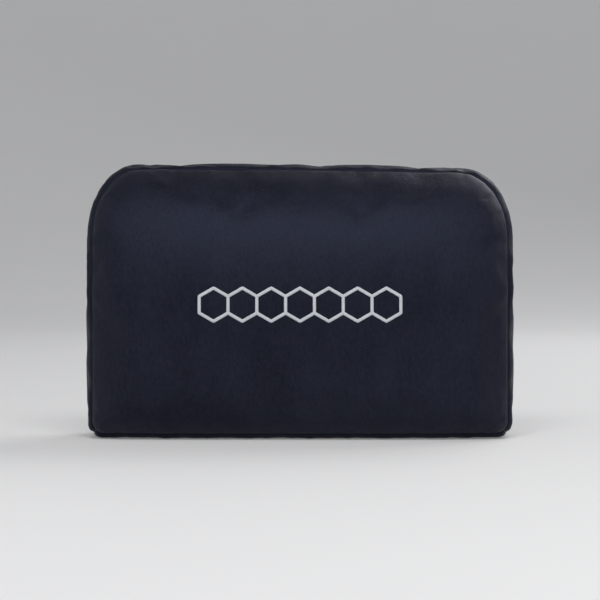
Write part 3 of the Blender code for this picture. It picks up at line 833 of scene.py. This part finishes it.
# The slider: two plates that taper to the tail, side walls, a post in the nose and a round bridge
low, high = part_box("zip_slider")
nose, tail = low.x, high.x
half = (high.z - low.z) / 2
TOP_PLATE, UNDER_PLATE = 0.0010, 0.0008
SLIDER_WALL = 0.0009
POST_HALF = 0.0008
BRIDGE_HALF = (0.0011, 0.00045)  # half its width and half its thickness
BRIDGE_REACH = 0.0038  # from the pull's hinge to each foot
BRIDGE_POWER = 0.6  # 1 would make it a half ellipse; less is squarer
top_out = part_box("zip_coil_upper")[1].y + 0.0003 + TOP_PLATE
hinge = Vector(frame["record"]["behaviour"]["joints"][1]["pos_m"])  # where the pull swings
plate = [(nose + 0.0006, half * 0.80), (nose + 0.0020, half), (tail - 0.0045, half)]
plate += [(tail - 0.0014, half * 0.84), (tail, half * 0.60)]
plate = [(x, ZIP_Z + z) for x, z in plate] + [(x, ZIP_Z - z) for x, z in reversed(plate)]
shapes = [rounded_plate("slider_top", [plate], top_out - TOP_PLATE, top_out, 0.0003)]
shapes.append(rounded_plate("slider_under", [plate], low.y, low.y + UNDER_PLATE, 0.0002))
for side in (-1, 1):
    wall_z = sorted((ZIP_Z + side * half, ZIP_Z + side * (half - SLIDER_WALL)))
    wall = rounded_box((nose + 0.0021, tail - 0.0046), wall_z, 0.0002, 2)
    shapes.append(rounded_plate("slider_wall", [wall], low.y + 0.0021, top_out - 0.0002, 0.0001))
post = rounded_box((nose + 0.0010, nose + 0.0032), (ZIP_Z - POST_HALF, ZIP_Z + POST_HALF), 0.0005)
shapes.append(rounded_plate("slider_post", [post], low.y + 0.0003, top_out - 0.0003, 0.0001))
bridge = bmesh.new()
arch = []
foot_out = top_out - 0.0002  # its feet start inside the top plate
crest = high.y - BRIDGE_HALF[1] - foot_out
for k in range(13):
    a = math.pi * k / 12
    reach = BRIDGE_REACH * math.copysign(abs(math.cos(a)) ** BRIDGE_POWER, math.cos(a))
    arch.append(Vector((hinge.x + reach, foot_out + crest * math.sin(a) ** BRIDGE_POWER, ZIP_Z)))
stations = []
for before, here, after in zip([arch[0]] + arch, arch, arch[1:] + [arch[-1]]):
    run = (after - before).normalized()
    out = Vector((run.y, -run.x, 0)) if run.length else Vector((1, 0, 0))
    stations.append(lambda a, b, h=here, out=out: h + Vector((0, 0, a)) + out * b)
half_ring = ((1, 0.4), (0.7, 1), (-0.7, 1), (-1, 0.4))
ribbon = [(BRIDGE_HALF[0] * a, BRIDGE_HALF[1] * b) for a, b in half_ring]
swept(bridge, ribbon + [(-a, -b) for a, b in ribbon], stations)
shapes.append(bridge)
slider = joined("slider_body", shapes)
metal.put_on(slider)
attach(slider, "slider")
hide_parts("zip_slider")

# The pull: a blank tab with a waist, whose eye hangs on the bridge
low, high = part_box("zip_pull")
half = (high.z - low.z) / 2
PULL_BAR = 0.0012  # the bar at its end, in the bridge
TAB_ROUND = 0.0050
bar_end = low.x + PULL_BAR
tab = [(low.x + 0.0003, half * 0.62), (low.x + 0.0068, half * 0.66), (low.x + 0.0095, half * 0.72)]
tab += [(low.x + 0.0150, half * 0.97), (low.x + 0.0180, half), (high.x - TAB_ROUND, half)]
for a in (math.radians(degrees) for degrees in (20, 40, 60, 75, 90)):
    tab.append((high.x - TAB_ROUND + TAB_ROUND * math.sin(a), half * (0.35 + 0.65 * math.cos(a))))
tab = [(x, ZIP_Z + z) for x, z in tab] + [(x, ZIP_Z - z) for x, z in reversed(tab)]
eye = rounded_box((bar_end, bar_end + 0.0050), (ZIP_Z - 0.0015, ZIP_Z + 0.0015), 0.0006)
grip = rounded_box((high.x - 0.0140, high.x - 0.0032), (ZIP_Z - 0.0022, ZIP_Z + 0.0022), 0.0016)
shapes = [
    rounded_plate("pull_tab", [tab, eye, grip], low.y, high.y, 0.0003),
    rounded_plate("pull_web", [grip], low.y + 0.0003, high.y - 0.0003, 0.0001),
]
pull = joined("pull_tab", shapes)
metal.put_on(pull)
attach(pull, "pull")
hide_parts("zip_pull")

for node in ("zip_top_stop_upper", "zip_top_stop_lower", "zip_bottom_stop"):
    low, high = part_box(node)
    crimp = rounded_box((low.x, high.x), (low.z, high.z), 0.0006)
    stop = joined(node + "_crimp", [rounded_plate(node, [crimp], low.y, high.y, 0.0004)])
    metal.put_on(stop)
    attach(stop, "cushion")
    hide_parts(node)


def stitch_line(bm, start, end, stitch=0.0024, gap=0.0009, thick=0.00042):
    """Lockstitches along a straight line on the back: short round-ended lengths of thread, each
    sunk into the cloth at its ends."""
    run = end - start
    count = max(1, round(run.length / (stitch + gap)))
    turn = Vector((1, 0, 0)).rotation_difference(run).to_matrix().to_4x4()
    for number in range(count):
        place = start + run * ((number + 0.5) / count)
        size = Matrix.Diagonal((stitch, thick, thick, 1))
        matrix = Matrix.Translation(place) @ turn @ size
        bmesh.ops.create_uvsphere(bm, u_segments=8, v_segments=6, radius=0.5, matrix=matrix)


sewing_finish = Finish("dark_thread", roughness=0.5, specular_ior_level=0.4)
strand = sewing_finish.grain(sewing_finish.place(), 4000.0)
dark_shade = sewing_finish.blend(strand, (0.012, 0.013, 0.022, 1), (0.040, 0.043, 0.062, 1))
sewing_finish.feed("Base Color", dark_shade)
sewing_finish.relief(strand, 0.4, 0.0001)

TOPSTITCH_Z = SLOT_HALF + 0.0022  # the rows' distance from the zip's middle
TACK_HALF = Vector((0, 0, 0.0045))
TACK_THREADS = 5
TACK_STEP = 0.0004
bm = bmesh.new()
stitch_y = BACK_Y + 0.00005
for up in (1, -1):
    row_z = ZIP_Z + up * TOPSTITCH_Z
    stitch_line(bm, Vector((-SLOT_END, stitch_y, row_z)), Vector((SLOT_END, stitch_y, row_z)))
for end in (-1, 1):
    tack_x = end * (STOPS_END + 0.0045)  # a bar tack across the ends of both tapes
    for number in range(TACK_THREADS):
        tack = Vector((tack_x + number * TACK_STEP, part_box("zip_tape_upper")[1].y, ZIP_Z))
        stitch_line(bm, tack - TACK_HALF, tack + TACK_HALF, stitch=0.0088, gap=0.0002)
    row_x = end * (SLOT_END + 0.0012)
    stitch_line(bm, *(Vector((row_x, stitch_y, ZIP_Z + up * TOPSTITCH_Z)) for up in (-1, 1)))
topstitch = add_mesh(bm, "zip_topstitch")
sewing_finish.put_on(topstitch)
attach(topstitch, "cushion")


# ---- Care label ------------------------------------------------------------------------------
# A blank white satin label, cut at its ends, sewn below the zip by a row of stitches at
# each end. It lies against the back with a slight wave between them.

low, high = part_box("care_label")
LABEL_THICK = 0.0003
LABEL_OFF = 0.0002  # its inner face stands this far off the back
LABEL_WAVE = 0.0007
LABEL_FRAY = 0.0002
LABEL_ROW_IN = 0.0022  # from its ends to the rows of stitches
bm = bmesh.new()
made = bmesh.ops.create_grid(bm, x_segments=40, y_segments=20, size=1)
for vert in made["verts"]:
    u, v = vert.co.x, vert.co.y
    lift = LABEL_WAVE * (1 - u * u) * (0.6 + 0.4 * math.sin(3.0 * v + 1.2 * u)) * (0.35 + 0.65 * v * v)
    fray = LABEL_FRAY * noise.noise(Vector((u * 4, v * 9, 3.0)))
    x = (low.x + high.x) / 2 + u * (high.x - low.x) / 2 + (fray if abs(u) == 1 else 0)
    z = (low.z + high.z) / 2 + v * (high.z - low.z) / 2 + (fray if abs(v) == 1 else 0)
    vert.co = Vector((x, BACK_Y + LABEL_OFF + lift, z))
bmesh.ops.recalc_face_normals(bm, faces=bm.faces)
if next(iter(bm.faces)).normal.y < 0:
    bmesh.ops.reverse_faces(bm, faces=bm.faces)
label = add_mesh(bm, "satin_label")
skin = label.modifiers.new("label_thickness", "SOLIDIFY")
skin.thickness = LABEL_THICK
skin.offset = -1
label_finish = Finish("label_satin", roughness=0.38, specular_ior_level=0.5, sheen_weight=0.1)
where = label_finish.place()
floats = label_finish.bands(where, 900.0)
soft_shade = label_finish.grain(where, 90.0, 3.0)
label_finish.feed("Base Color", label_finish.blend(soft_shade, (0.74, 0.74, 0.72, 1), (0.64, 0.64, 0.63, 1)))
label_finish.feed("Roughness", 0.30 + soft_shade * 0.15)
label_finish.relief(floats, 0.35, 0.0001)
label_finish.put_on(label)
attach(label, "cushion")
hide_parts("care_label")

bm = bmesh.new()
for row_x in (low.x + LABEL_ROW_IN, high.x - LABEL_ROW_IN):
    ends = (low.z + 0.0008, high.z - 0.0008)
    stitch_line(bm, *(Vector((row_x, BACK_Y + 0.00035, z)) for z in ends), stitch=0.0020, gap=0.0008)
label_stitches = add_mesh(bm, "label_stitches")
sewing_finish.put_on(label_stitches)
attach(label_stitches, "cushion")


# ---- Straps ----------------------------------------------------------------------------------
# Two lengths of ribbed woven elastic, caught in the side seams and clipped short across the back.
# One is sewn back on itself round the buckle's bar, the other runs round its bar to a loose tail.

left_low, left_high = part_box("strap_left")
socket_low, socket_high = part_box("buckle_female")
plug_end_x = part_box("buckle_male")[1].x
STRAP_Z = (left_low.z + left_high.z) / 2
STRAP_THICK = 0.0014
BUCKLE_Y = (socket_low.y + socket_high.y) / 2
BAR_RADIUS = 0.0015
BEND = BAR_RADIUS + 0.0003 + STRAP_THICK / 2  # the strap's middle, round a bar
ON_BACK = BACK_Y + 0.0006 + STRAP_THICK / 2
SECOND = ON_BACK + STRAP_THICK + 0.0006  # a second layer, lying on the first
SOCKET_BAR_X = socket_low.x + BAR_RADIUS
PLUG_OUTER_BAR_X = plug_end_x - BAR_RADIUS
PLUG_BAR_X = PLUG_OUTER_BAR_X - 0.009
SEWN_RISE = 0.024  # the run in which the sewn strap comes up to its bar
LOOSE_RISE = 0.022  # and the adjustable one to its bars
SEWN_BACK = 0.040  # how far past its bar the sewn strap is turned back on itself
TAIL = 0.062  # and the adjustable one, past its outer bar
BACK_SEAM_IN = BACK_ROUND * (1 - math.sin(BACK_TURN))
SEAM_X = HALF_X - BACK_SEAM_IN - 0.0005
STRAP_STEP = 0.0009
RIBS = 14
RIB_POINTS = 4
RIB_HIGH = 0.00010
SELVEDGE = 0.06  # the share of the half width that is rounded off
STRAP_WAVE = 0.00012


def round_a_bar(bar_x, side):
    """The strap's bend from under a bar to over it, on the bar's +X or -X side."""
    turns = [math.radians(-90 + 15 * k) for k in range(13)]
    return [(bar_x + side * BEND * math.cos(a), BUCKLE_Y + BEND * math.sin(a)) for a in turns]


def eased_run(start, end, count=8):
    """Points of an S between two places, level at both."""
    steps = [k / count for k in range(1, count)]
    return [
        (start[0] + (end[0] - start[0]) * t, start[1] + (end[1] - start[1]) * t * t * (3 - 2 * t))
        for t in steps
    ]


def evenly(route, step):
    """The same route in even steps."""
    route = [Vector(p) for p in route]
    far = [0.0]
    for before, here in zip(route, route[1:]):
        far.append(far[-1] + (here - before).length)
    at = np.linspace(0, far[-1], max(2, round(far[-1] / step)))
    across = np.interp(at, far, [point.x for point in route])
    out = np.interp(at, far, [point.y for point in route])
    return [Vector(place) for place in zip(across, out)]


def webbing(name, route):
    """A ribbed elastic strap on edge along a route in X and Y, with rounded selvedges."""
    half = (left_high.z - left_low.z) / 2
    count = RIBS * RIB_POINTS
    upper = []
    for k in range(count + 1):
        s = 2 * k / count - 1
        rib = RIB_HIGH * math.cos(math.pi * RIBS * s)
        edge = math.sqrt(max(0.0, 1 - max(0.0, (abs(s) - 1 + SELVEDGE) / SELVEDGE) ** 2))
        upper.append((s * half, (STRAP_THICK / 2 - RIB_HIGH + rib) * (0.25 + 0.75 * edge)))
    profile = upper + [(a, -b) for a, b in reversed(upper)]
    points = evenly(route, STRAP_STEP)
    stations = []
    for before, here, after in zip(points[:1] + points, points, points[1:] + points[-1:]):
        run = (after - before).normalized()
        wave = STRAP_WAVE * noise.noise(Vector((here.x * 60, here.y * 60, 1.0)))

        def place(a, b, here=here, out=(-run.y, run.x), wave=wave):
            return Vector((here.x + out[0] * b, here.y + out[1] * b, STRAP_Z + a + wave))

        stations.append(place)
    bm = bmesh.new()
    swept(bm, profile, stations)
    return add_mesh(bm, name)


elastic = Finish("ribbed_elastic", roughness=0.7, specular_ior_level=0.3, sheen_weight=0.05)
where = elastic.place()
picks = elastic.bands(where, 330.0)
warps = elastic.bands(where, 280.0, {"bands_direction": "Z"})
fuzz = elastic.grain(where, 1800.0)
webbing_shade = picks * 0.4 + warps * 0.3 + fuzz * 0.3
elastic.feed("Base Color", elastic.blend(webbing_shade, (0.008, 0.0085, 0.012, 1), (0.024, 0.025, 0.033, 1)))
elastic.feed("Roughness", 0.60 + fuzz * 0.2)
elastic.relief(picks * 0.6 + warps * 0.4, 0.6, 0.0002)


def out_of_seam(side):
    """Up out of the side seam, over in a tight bend, then round the cover's edge and onto its back."""
    lift = ON_BACK - BACK_Y
    clear = 0.003  # from the seam, where the strap starts to lie on the cloth
    bend = 0.0022  # the radius of the tight bend
    hidden = 0.0045  # how deep its end goes into the seam
    lean = math.asin((BACK_ROUND - clear - BACK_SEAM_IN) / BACK_ROUND)
    start = Vector((SEAM_X - clear, BACK_Y - corner(clear + BACK_SEAM_IN, BACK_ROUND) + lift))
    centre = start - bend * Vector((math.sin(lean), math.cos(lean)))
    turns = [math.pi / 2 - (math.pi / 2 - lean) * k / 6 for k in range(7)]
    arc = [centre + bend * Vector((math.sin(a), math.cos(a))) for a in turns]
    rises = [clear + 0.0008 * k for k in range(1, 9)]
    edge = [(SEAM_X - d, BACK_Y - corner(d + BACK_SEAM_IN, BACK_ROUND) + lift) for d in rises]
    end = (arc[0].x, arc[0].y - hidden)
    return [(side * x, y) for x, y in [end] + [tuple(p) for p in arc] + edge]


lie = (SOCKET_BAR_X - SEWN_RISE, ON_BACK)
rise = (SOCKET_BAR_X, BUCKLE_Y - BEND)
route = out_of_seam(-1) + [lie] + eased_run(lie, rise) + round_a_bar(SOCKET_BAR_X, 1)
over = (SOCKET_BAR_X, BUCKLE_Y + BEND)
down = (SOCKET_BAR_X - SEWN_RISE, SECOND)
route += eased_run(over, down) + [down, (SOCKET_BAR_X - SEWN_BACK, SECOND)]
strap_left = webbing("sewn_strap", route)

lie = (PLUG_OUTER_BAR_X + LOOSE_RISE, ON_BACK)
under = (PLUG_OUTER_BAR_X - 0.001, BUCKLE_Y - BEND)
route = out_of_seam(1) + [lie] + eased_run(lie, under) + [under] + round_a_bar(PLUG_BAR_X, -1)
over = (PLUG_OUTER_BAR_X - 0.001, BUCKLE_Y + BEND)
down = (PLUG_OUTER_BAR_X + LOOSE_RISE, SECOND)
route += [over] + eased_run(over, down) + [down, (PLUG_OUTER_BAR_X + TAIL, SECOND)]
strap_right = webbing("adjustable_strap", route)

for strap, node in ((strap_left, "strap_left"), (strap_right, "strap_right")):
    elastic.put_on(strap)
    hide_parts(node)
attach(strap_left, "cushion")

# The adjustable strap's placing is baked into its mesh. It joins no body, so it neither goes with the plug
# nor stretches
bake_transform(strap_right)

# A boxed cross of stitches holds the sewn strap's doubled end
bm = bmesh.new()
CROSS_IN = 0.0025  # from the strap's end
CROSS_LONG = 0.0110
CROSS_HALF = 0.0095
cross_x = SOCKET_BAR_X - SEWN_BACK + CROSS_IN
cross_y = SECOND + STRAP_THICK / 2
low_side = [Vector((x, cross_y, STRAP_Z - CROSS_HALF)) for x in (cross_x, cross_x + CROSS_LONG)]
high_side = [Vector((place.x, cross_y, STRAP_Z + CROSS_HALF)) for place in reversed(low_side)]
corners = low_side + high_side
for one, other in ((0, 1), (1, 2), (2, 3), (3, 0), (0, 2), (1, 3)):
    stitch_line(bm, corners[one], corners[other], stitch=0.0020, gap=0.0006)
box_stitches = add_mesh(bm, "strap_box_stitches")
sewing_finish.put_on(box_stitches)
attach(box_stitches, "cushion")


# ---- Side-release buckle ---------------------------------------------------------------------
# Two black acetal mouldings. The socket is hollow from its mouth, with a window in each side where
# the plug's springy prongs catch, and a bar for the sewn strap. The plug has two bars to adjust by.

HALF_THICK = (socket_high.y - socket_low.y) / 2
HALF_WIDE = (socket_high.z - socket_low.z) / 2
SLOT_WIDE = (left_high.z - left_low.z) / 2 + 0.0006  # from the middle to each end of a strap's slot
FRAME_HALF = 0.0022  # half the thickness of the arms
BODY_BACK_X = SOCKET_BAR_X + 0.0085  # where the socket's body starts, past the strap's slot
POCKET_HALF = 0.0027  # half the height of the socket's hollow
WALL = 0.0030  # of the socket's sides


def carved(block, *cutters):
    """A moulding's block with shapes cut out of it, as a bmesh. Block and cutters are used up."""
    for shape in cutters:
        step = block.modifiers.new("carve", "BOOLEAN")
        step.operation = "DIFFERENCE"
        step.object = shape
    result = block.evaluated_get(bpy.context.evaluated_depsgraph_get())
    mesh = bpy.data.meshes.new_from_object(result)
    for used in (block, *cutters):
        bpy.data.objects.remove(used)
    bm = bmesh.new()
    bm.from_mesh(mesh)
    bpy.data.meshes.remove(mesh)
    return bm


def smooth_sides(points, bend_steps=6):
    """A closed outline by points above the middle line, mirrored below it, with soft bends."""
    whole = [(x, STRAP_Z + z) for x, z in points] + [(x, STRAP_Z - z) for x, z in reversed(points)]
    soft = []
    for i, here in enumerate(whole):
        before, after = Vector(whole[i - 1]), Vector(whole[(i + 1) % len(whole)])
        here = Vector(here)
        reach = min((before - here).length, (after - here).length) * 0.45
        one = here + (before - here).normalized() * reach
        other = here + (after - here).normalized() * reach
        for k in range(bend_steps + 1):
            t = k / bend_steps
            soft.append(tuple(one * (1 - t) ** 2 + here * 2 * t * (1 - t) + other * t * t))
    return soft


def bar(x):
    """A round bar across the buckle, with its ends inside the arms."""
    bm = bmesh.new()
    long = 2 * (HALF_WIDE - 0.0012)
    middle = Matrix.Translation((x, BUCKLE_Y, STRAP_Z))
    radii = {"radius1": BAR_RADIUS, "radius2": BAR_RADIUS}
    bmesh.ops.create_cone(bm, cap_ends=True, segments=20, depth=long, matrix=middle, **radii)
    return bm


def moulded(name, outline_points, half_thick, edge):
    """A rounded plate in the buckle's middle plane."""
    return rounded_plate(name, [outline_points], BUCKLE_Y - half_thick, BUCKLE_Y + half_thick, edge)


def arm(x, side):
    """One side of the frame that carries a bar."""
    z = sorted((STRAP_Z + side * SLOT_WIDE, STRAP_Z + side * (HALF_WIDE - 0.0004)))
    return moulded("arm", rounded_box(x, z, 0.0012), FRAME_HALF, 0.0006)


def cutter(name, x, y, half_z, radius):
    """A rounded block to cut with."""
    hole = rounded_box(x, (STRAP_Z - half_z, STRAP_Z + half_z), radius)
    return add_mesh(rounded_plate(name, [hole], *y, 0.0003), name)


# The socket: X is 0 at its mouth, and falls towards its strap bar
WAIST = HALF_WIDE - 0.0011  # its sides draw in by the windows
sides = [(BODY_BACK_X, HALF_WIDE - 0.0002), (BODY_BACK_X + 0.006, HALF_WIDE), (-0.0185, HALF_WIDE)]
sides += [(-0.0155, WAIST), (-0.0080, WAIST), (-0.0045, HALF_WIDE), (0.0, HALF_WIDE)]
block = add_mesh(moulded("socket_block", smooth_sides(sides), HALF_THICK, 0.0014), "socket_block")
pocket_y = (BUCKLE_Y - POCKET_HALF, BUCKLE_Y + POCKET_HALF)
window_y = (pocket_y[0] + 0.0002, pocket_y[1] - 0.0002)
hollow_y = (BUCKLE_Y + HALF_THICK - 0.0009, BUCKLE_Y + HALF_THICK + 0.002)
hollowed = carved(
    block,
    cutter("pocket", (BODY_BACK_X + 0.002, 0.004), pocket_y, HALF_WIDE - WALL, 0.0012),
    cutter("windows", (-0.0180, -0.0058), window_y, 0.03, 0.0016),
    cutter("thumb_hollow", (-0.0150, -0.0090), hollow_y, 0.0085, 0.0028),
)
arm_x = (socket_low.x, BODY_BACK_X + 0.002)
socket = joined("buckle_socket", [hollowed, arm(arm_x, 1), arm(arm_x, -1), bar(SOCKET_BAR_X)])

# The plug: a shoulder outside the mouth, two prongs and a tongue inside it, and its two bars
PRONG_HALF = POCKET_HALF - 0.0006
shoulder = rounded_box((0.0003, 0.0060), (STRAP_Z - HALF_WIDE, STRAP_Z + HALF_WIDE), 0.0022)
shapes = [moulded("shoulder", shoulder, HALF_THICK, 0.0013)]
prong = [(0.0020, 0.0093), (-0.0060, 0.0095), (-0.0120, 0.0092), (-0.0190, 0.0096), (-0.0205, 0.0105)]
prong += [(-0.0190, 0.0122), (-0.0150, 0.0129), (-0.0090, 0.0129), (-0.0062, 0.0118), (0.0020, 0.0116)]
for side in (-1, 1):
    shapes.append(moulded("prong", [(x, STRAP_Z + side * z) for x, z in prong], PRONG_HALF, 0.0005))
    shapes.append(arm((0.0050, plug_end_x), side))
tongue = rounded_box((-0.0215, 0.0020), (STRAP_Z - 0.0030, STRAP_Z + 0.0030), 0.0012)
shapes.append(moulded("tongue", tongue, PRONG_HALF, 0.0005))
shapes += [bar(PLUG_BAR_X), bar(PLUG_OUTER_BAR_X)]
plug = joined("buckle_plug_moulding", shapes)

acetal = Finish("black_acetal", specular_ior_level=0.5)
where = acetal.place()
spark = acetal.grain(where, 1400.0, 2.0)
flow = acetal.grain(where, 60.0, 2.0)
acetal.feed("Base Color", acetal.blend(flow, (0.014, 0.014, 0.016, 1), (0.024, 0.024, 0.027, 1)))
acetal.feed("Roughness", 0.33 + spark * 0.14)
acetal.relief(spark, 0.25, 0.00012)
for moulding, node, body in ((socket, "buckle_female", "cushion"), (plug, "buckle_male", "buckle_plug")):
    acetal.put_on(moulding)
    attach(moulding, body)
    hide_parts(node)


# ---- Floor, light and camera -----------------------------------------------------------------
# A plain pale floor under a big soft light that hangs in front and above, with dim ones at the
# sides and another behind. The camera looks nearly level at the front through a long lens.

FLOOR_FLAT = 2.1  # the flat floor's radius, before it sweeps up on all sides
SWEEP = 3.0
UNDER_FOOT = 0.0005  # the floor lies this far below the underside
turns = [math.radians(degrees) for degrees in range(0, 91, 6)]
reaches = [FLOOR_FLAT + SWEEP * math.sin(a) for a in turns]
lifts = [SWEEP * (1 - math.cos(a)) for a in turns]
bm = bmesh.new()
bmesh.ops.create_circle(bm, cap_ends=True, segments=128, radius=FLOOR_FLAT)
rim = [edge for edge in bm.edges if edge.is_boundary]
for radius, height, before in zip(reaches[1:], lifts[1:], reaches):
    made = bmesh.ops.extrude_edge_only(bm, edges=rim)["geom"]
    for vert in (v for v in made if isinstance(v, bmesh.types.BMVert)):
        vert.co = Vector((vert.co.x * radius / before, vert.co.y * radius / before, height))
    rim = [e for e in made if isinstance(e, bmesh.types.BMEdge)]
floor = add_mesh(bm, "floor")
floor_finish = Finish("pale_floor", roughness=0.7, specular_ior_level=0.2, emission_strength=0.15)
clouds = floor_finish.grain(floor_finish.place(), 1.5, 2.0)
floor_finish.feed("Base Color", floor_finish.blend(clouds, (0.60, 0.60, 0.605, 1), (0.64, 0.64, 0.64, 1)))
floor_finish.put_on(floor)
floor.location.z = FOOT_Z - UNDER_FOOT

# The room: pale round the horizon, dim overhead
ROOM_LEVEL = (0.58, 0.59, 0.61, 1)
ROOM_ABOVE = (0.14, 0.14, 0.15, 1)
DIMS_FROM, DIMS_TO = 0.20, 0.85  # as sines of the angle above the horizon
world = bpy.data.worlds.new("studio")
room = Nodes(world, "Background")
direction = room.node("ShaderNodeTexCoord", output="Generated")
height = room.node("ShaderNodeSeparateXYZ", None, {"Vector": direction}, output="Z")
overhead = room.limits(height, DIMS_FROM, DIMS_TO, {"interpolation_type": "SMOOTHSTEP"})
room.feed("Color", room.blend(overhead, ROOM_LEVEL, ROOM_ABOVE))
bpy.context.scene.world = world


def softbox(name, azimuth, elevation, distance, size, power):
    """A panel of soft light, aimed at the cushion's middle."""
    light = bpy.data.lights.new(name, "AREA")
    light.shape = "RECTANGLE"
    light.size, light.size_y = size
    light.energy = power
    lamp = bpy.data.objects.new(name, light)
    bpy.context.scene.collection.objects.link(lamp)
    a, e = math.radians(azimuth), math.radians(elevation)
    out = Vector((math.sin(a) * math.cos(e), -math.cos(a) * math.cos(e), math.sin(e)))
    lamp.location = Vector((0, 0, MID_Z)) + out * distance
    lamp.rotation_mode = "QUATERNION"
    lamp.rotation_quaternion = (-out).to_track_quat("-Z", "Y")


# Azimuth from the front and height in degrees, distance and size in metres, power in watts
softbox("key", 0, 47, 2.2, (1.5, 0.8), 29)
softbox("left_fill", -75, 30, 2.4, (1.4, 1.4), 2.5)
softbox("right_fill", 75, 30, 2.4, (1.4, 1.4), 2.5)
softbox("back_light", 140, 36, 2.4, (1.8, 1.2), 24)

VIEW_SHARE = 0.72  # of the picture's width that the cushion takes
RISE = math.radians(1.5)  # the camera looks down by this much
camera = bpy.data.cameras.new("camera")
camera.sensor_width = 36
camera.lens = 150
eye = bpy.data.objects.new("camera", camera)
bpy.context.scene.collection.objects.link(eye)
distance = 2 * HALF_X / VIEW_SHARE / (camera.sensor_width / camera.lens) - CREST_Y
eye.location = (0, -distance * math.cos(RISE), MID_Z + distance * math.sin(RISE))
eye.rotation_euler = (math.pi / 2 - RISE, 0, 0)
bpy.context.scene.camera = eye
bpy.context.scene.view_settings.view_transform = "Standard"
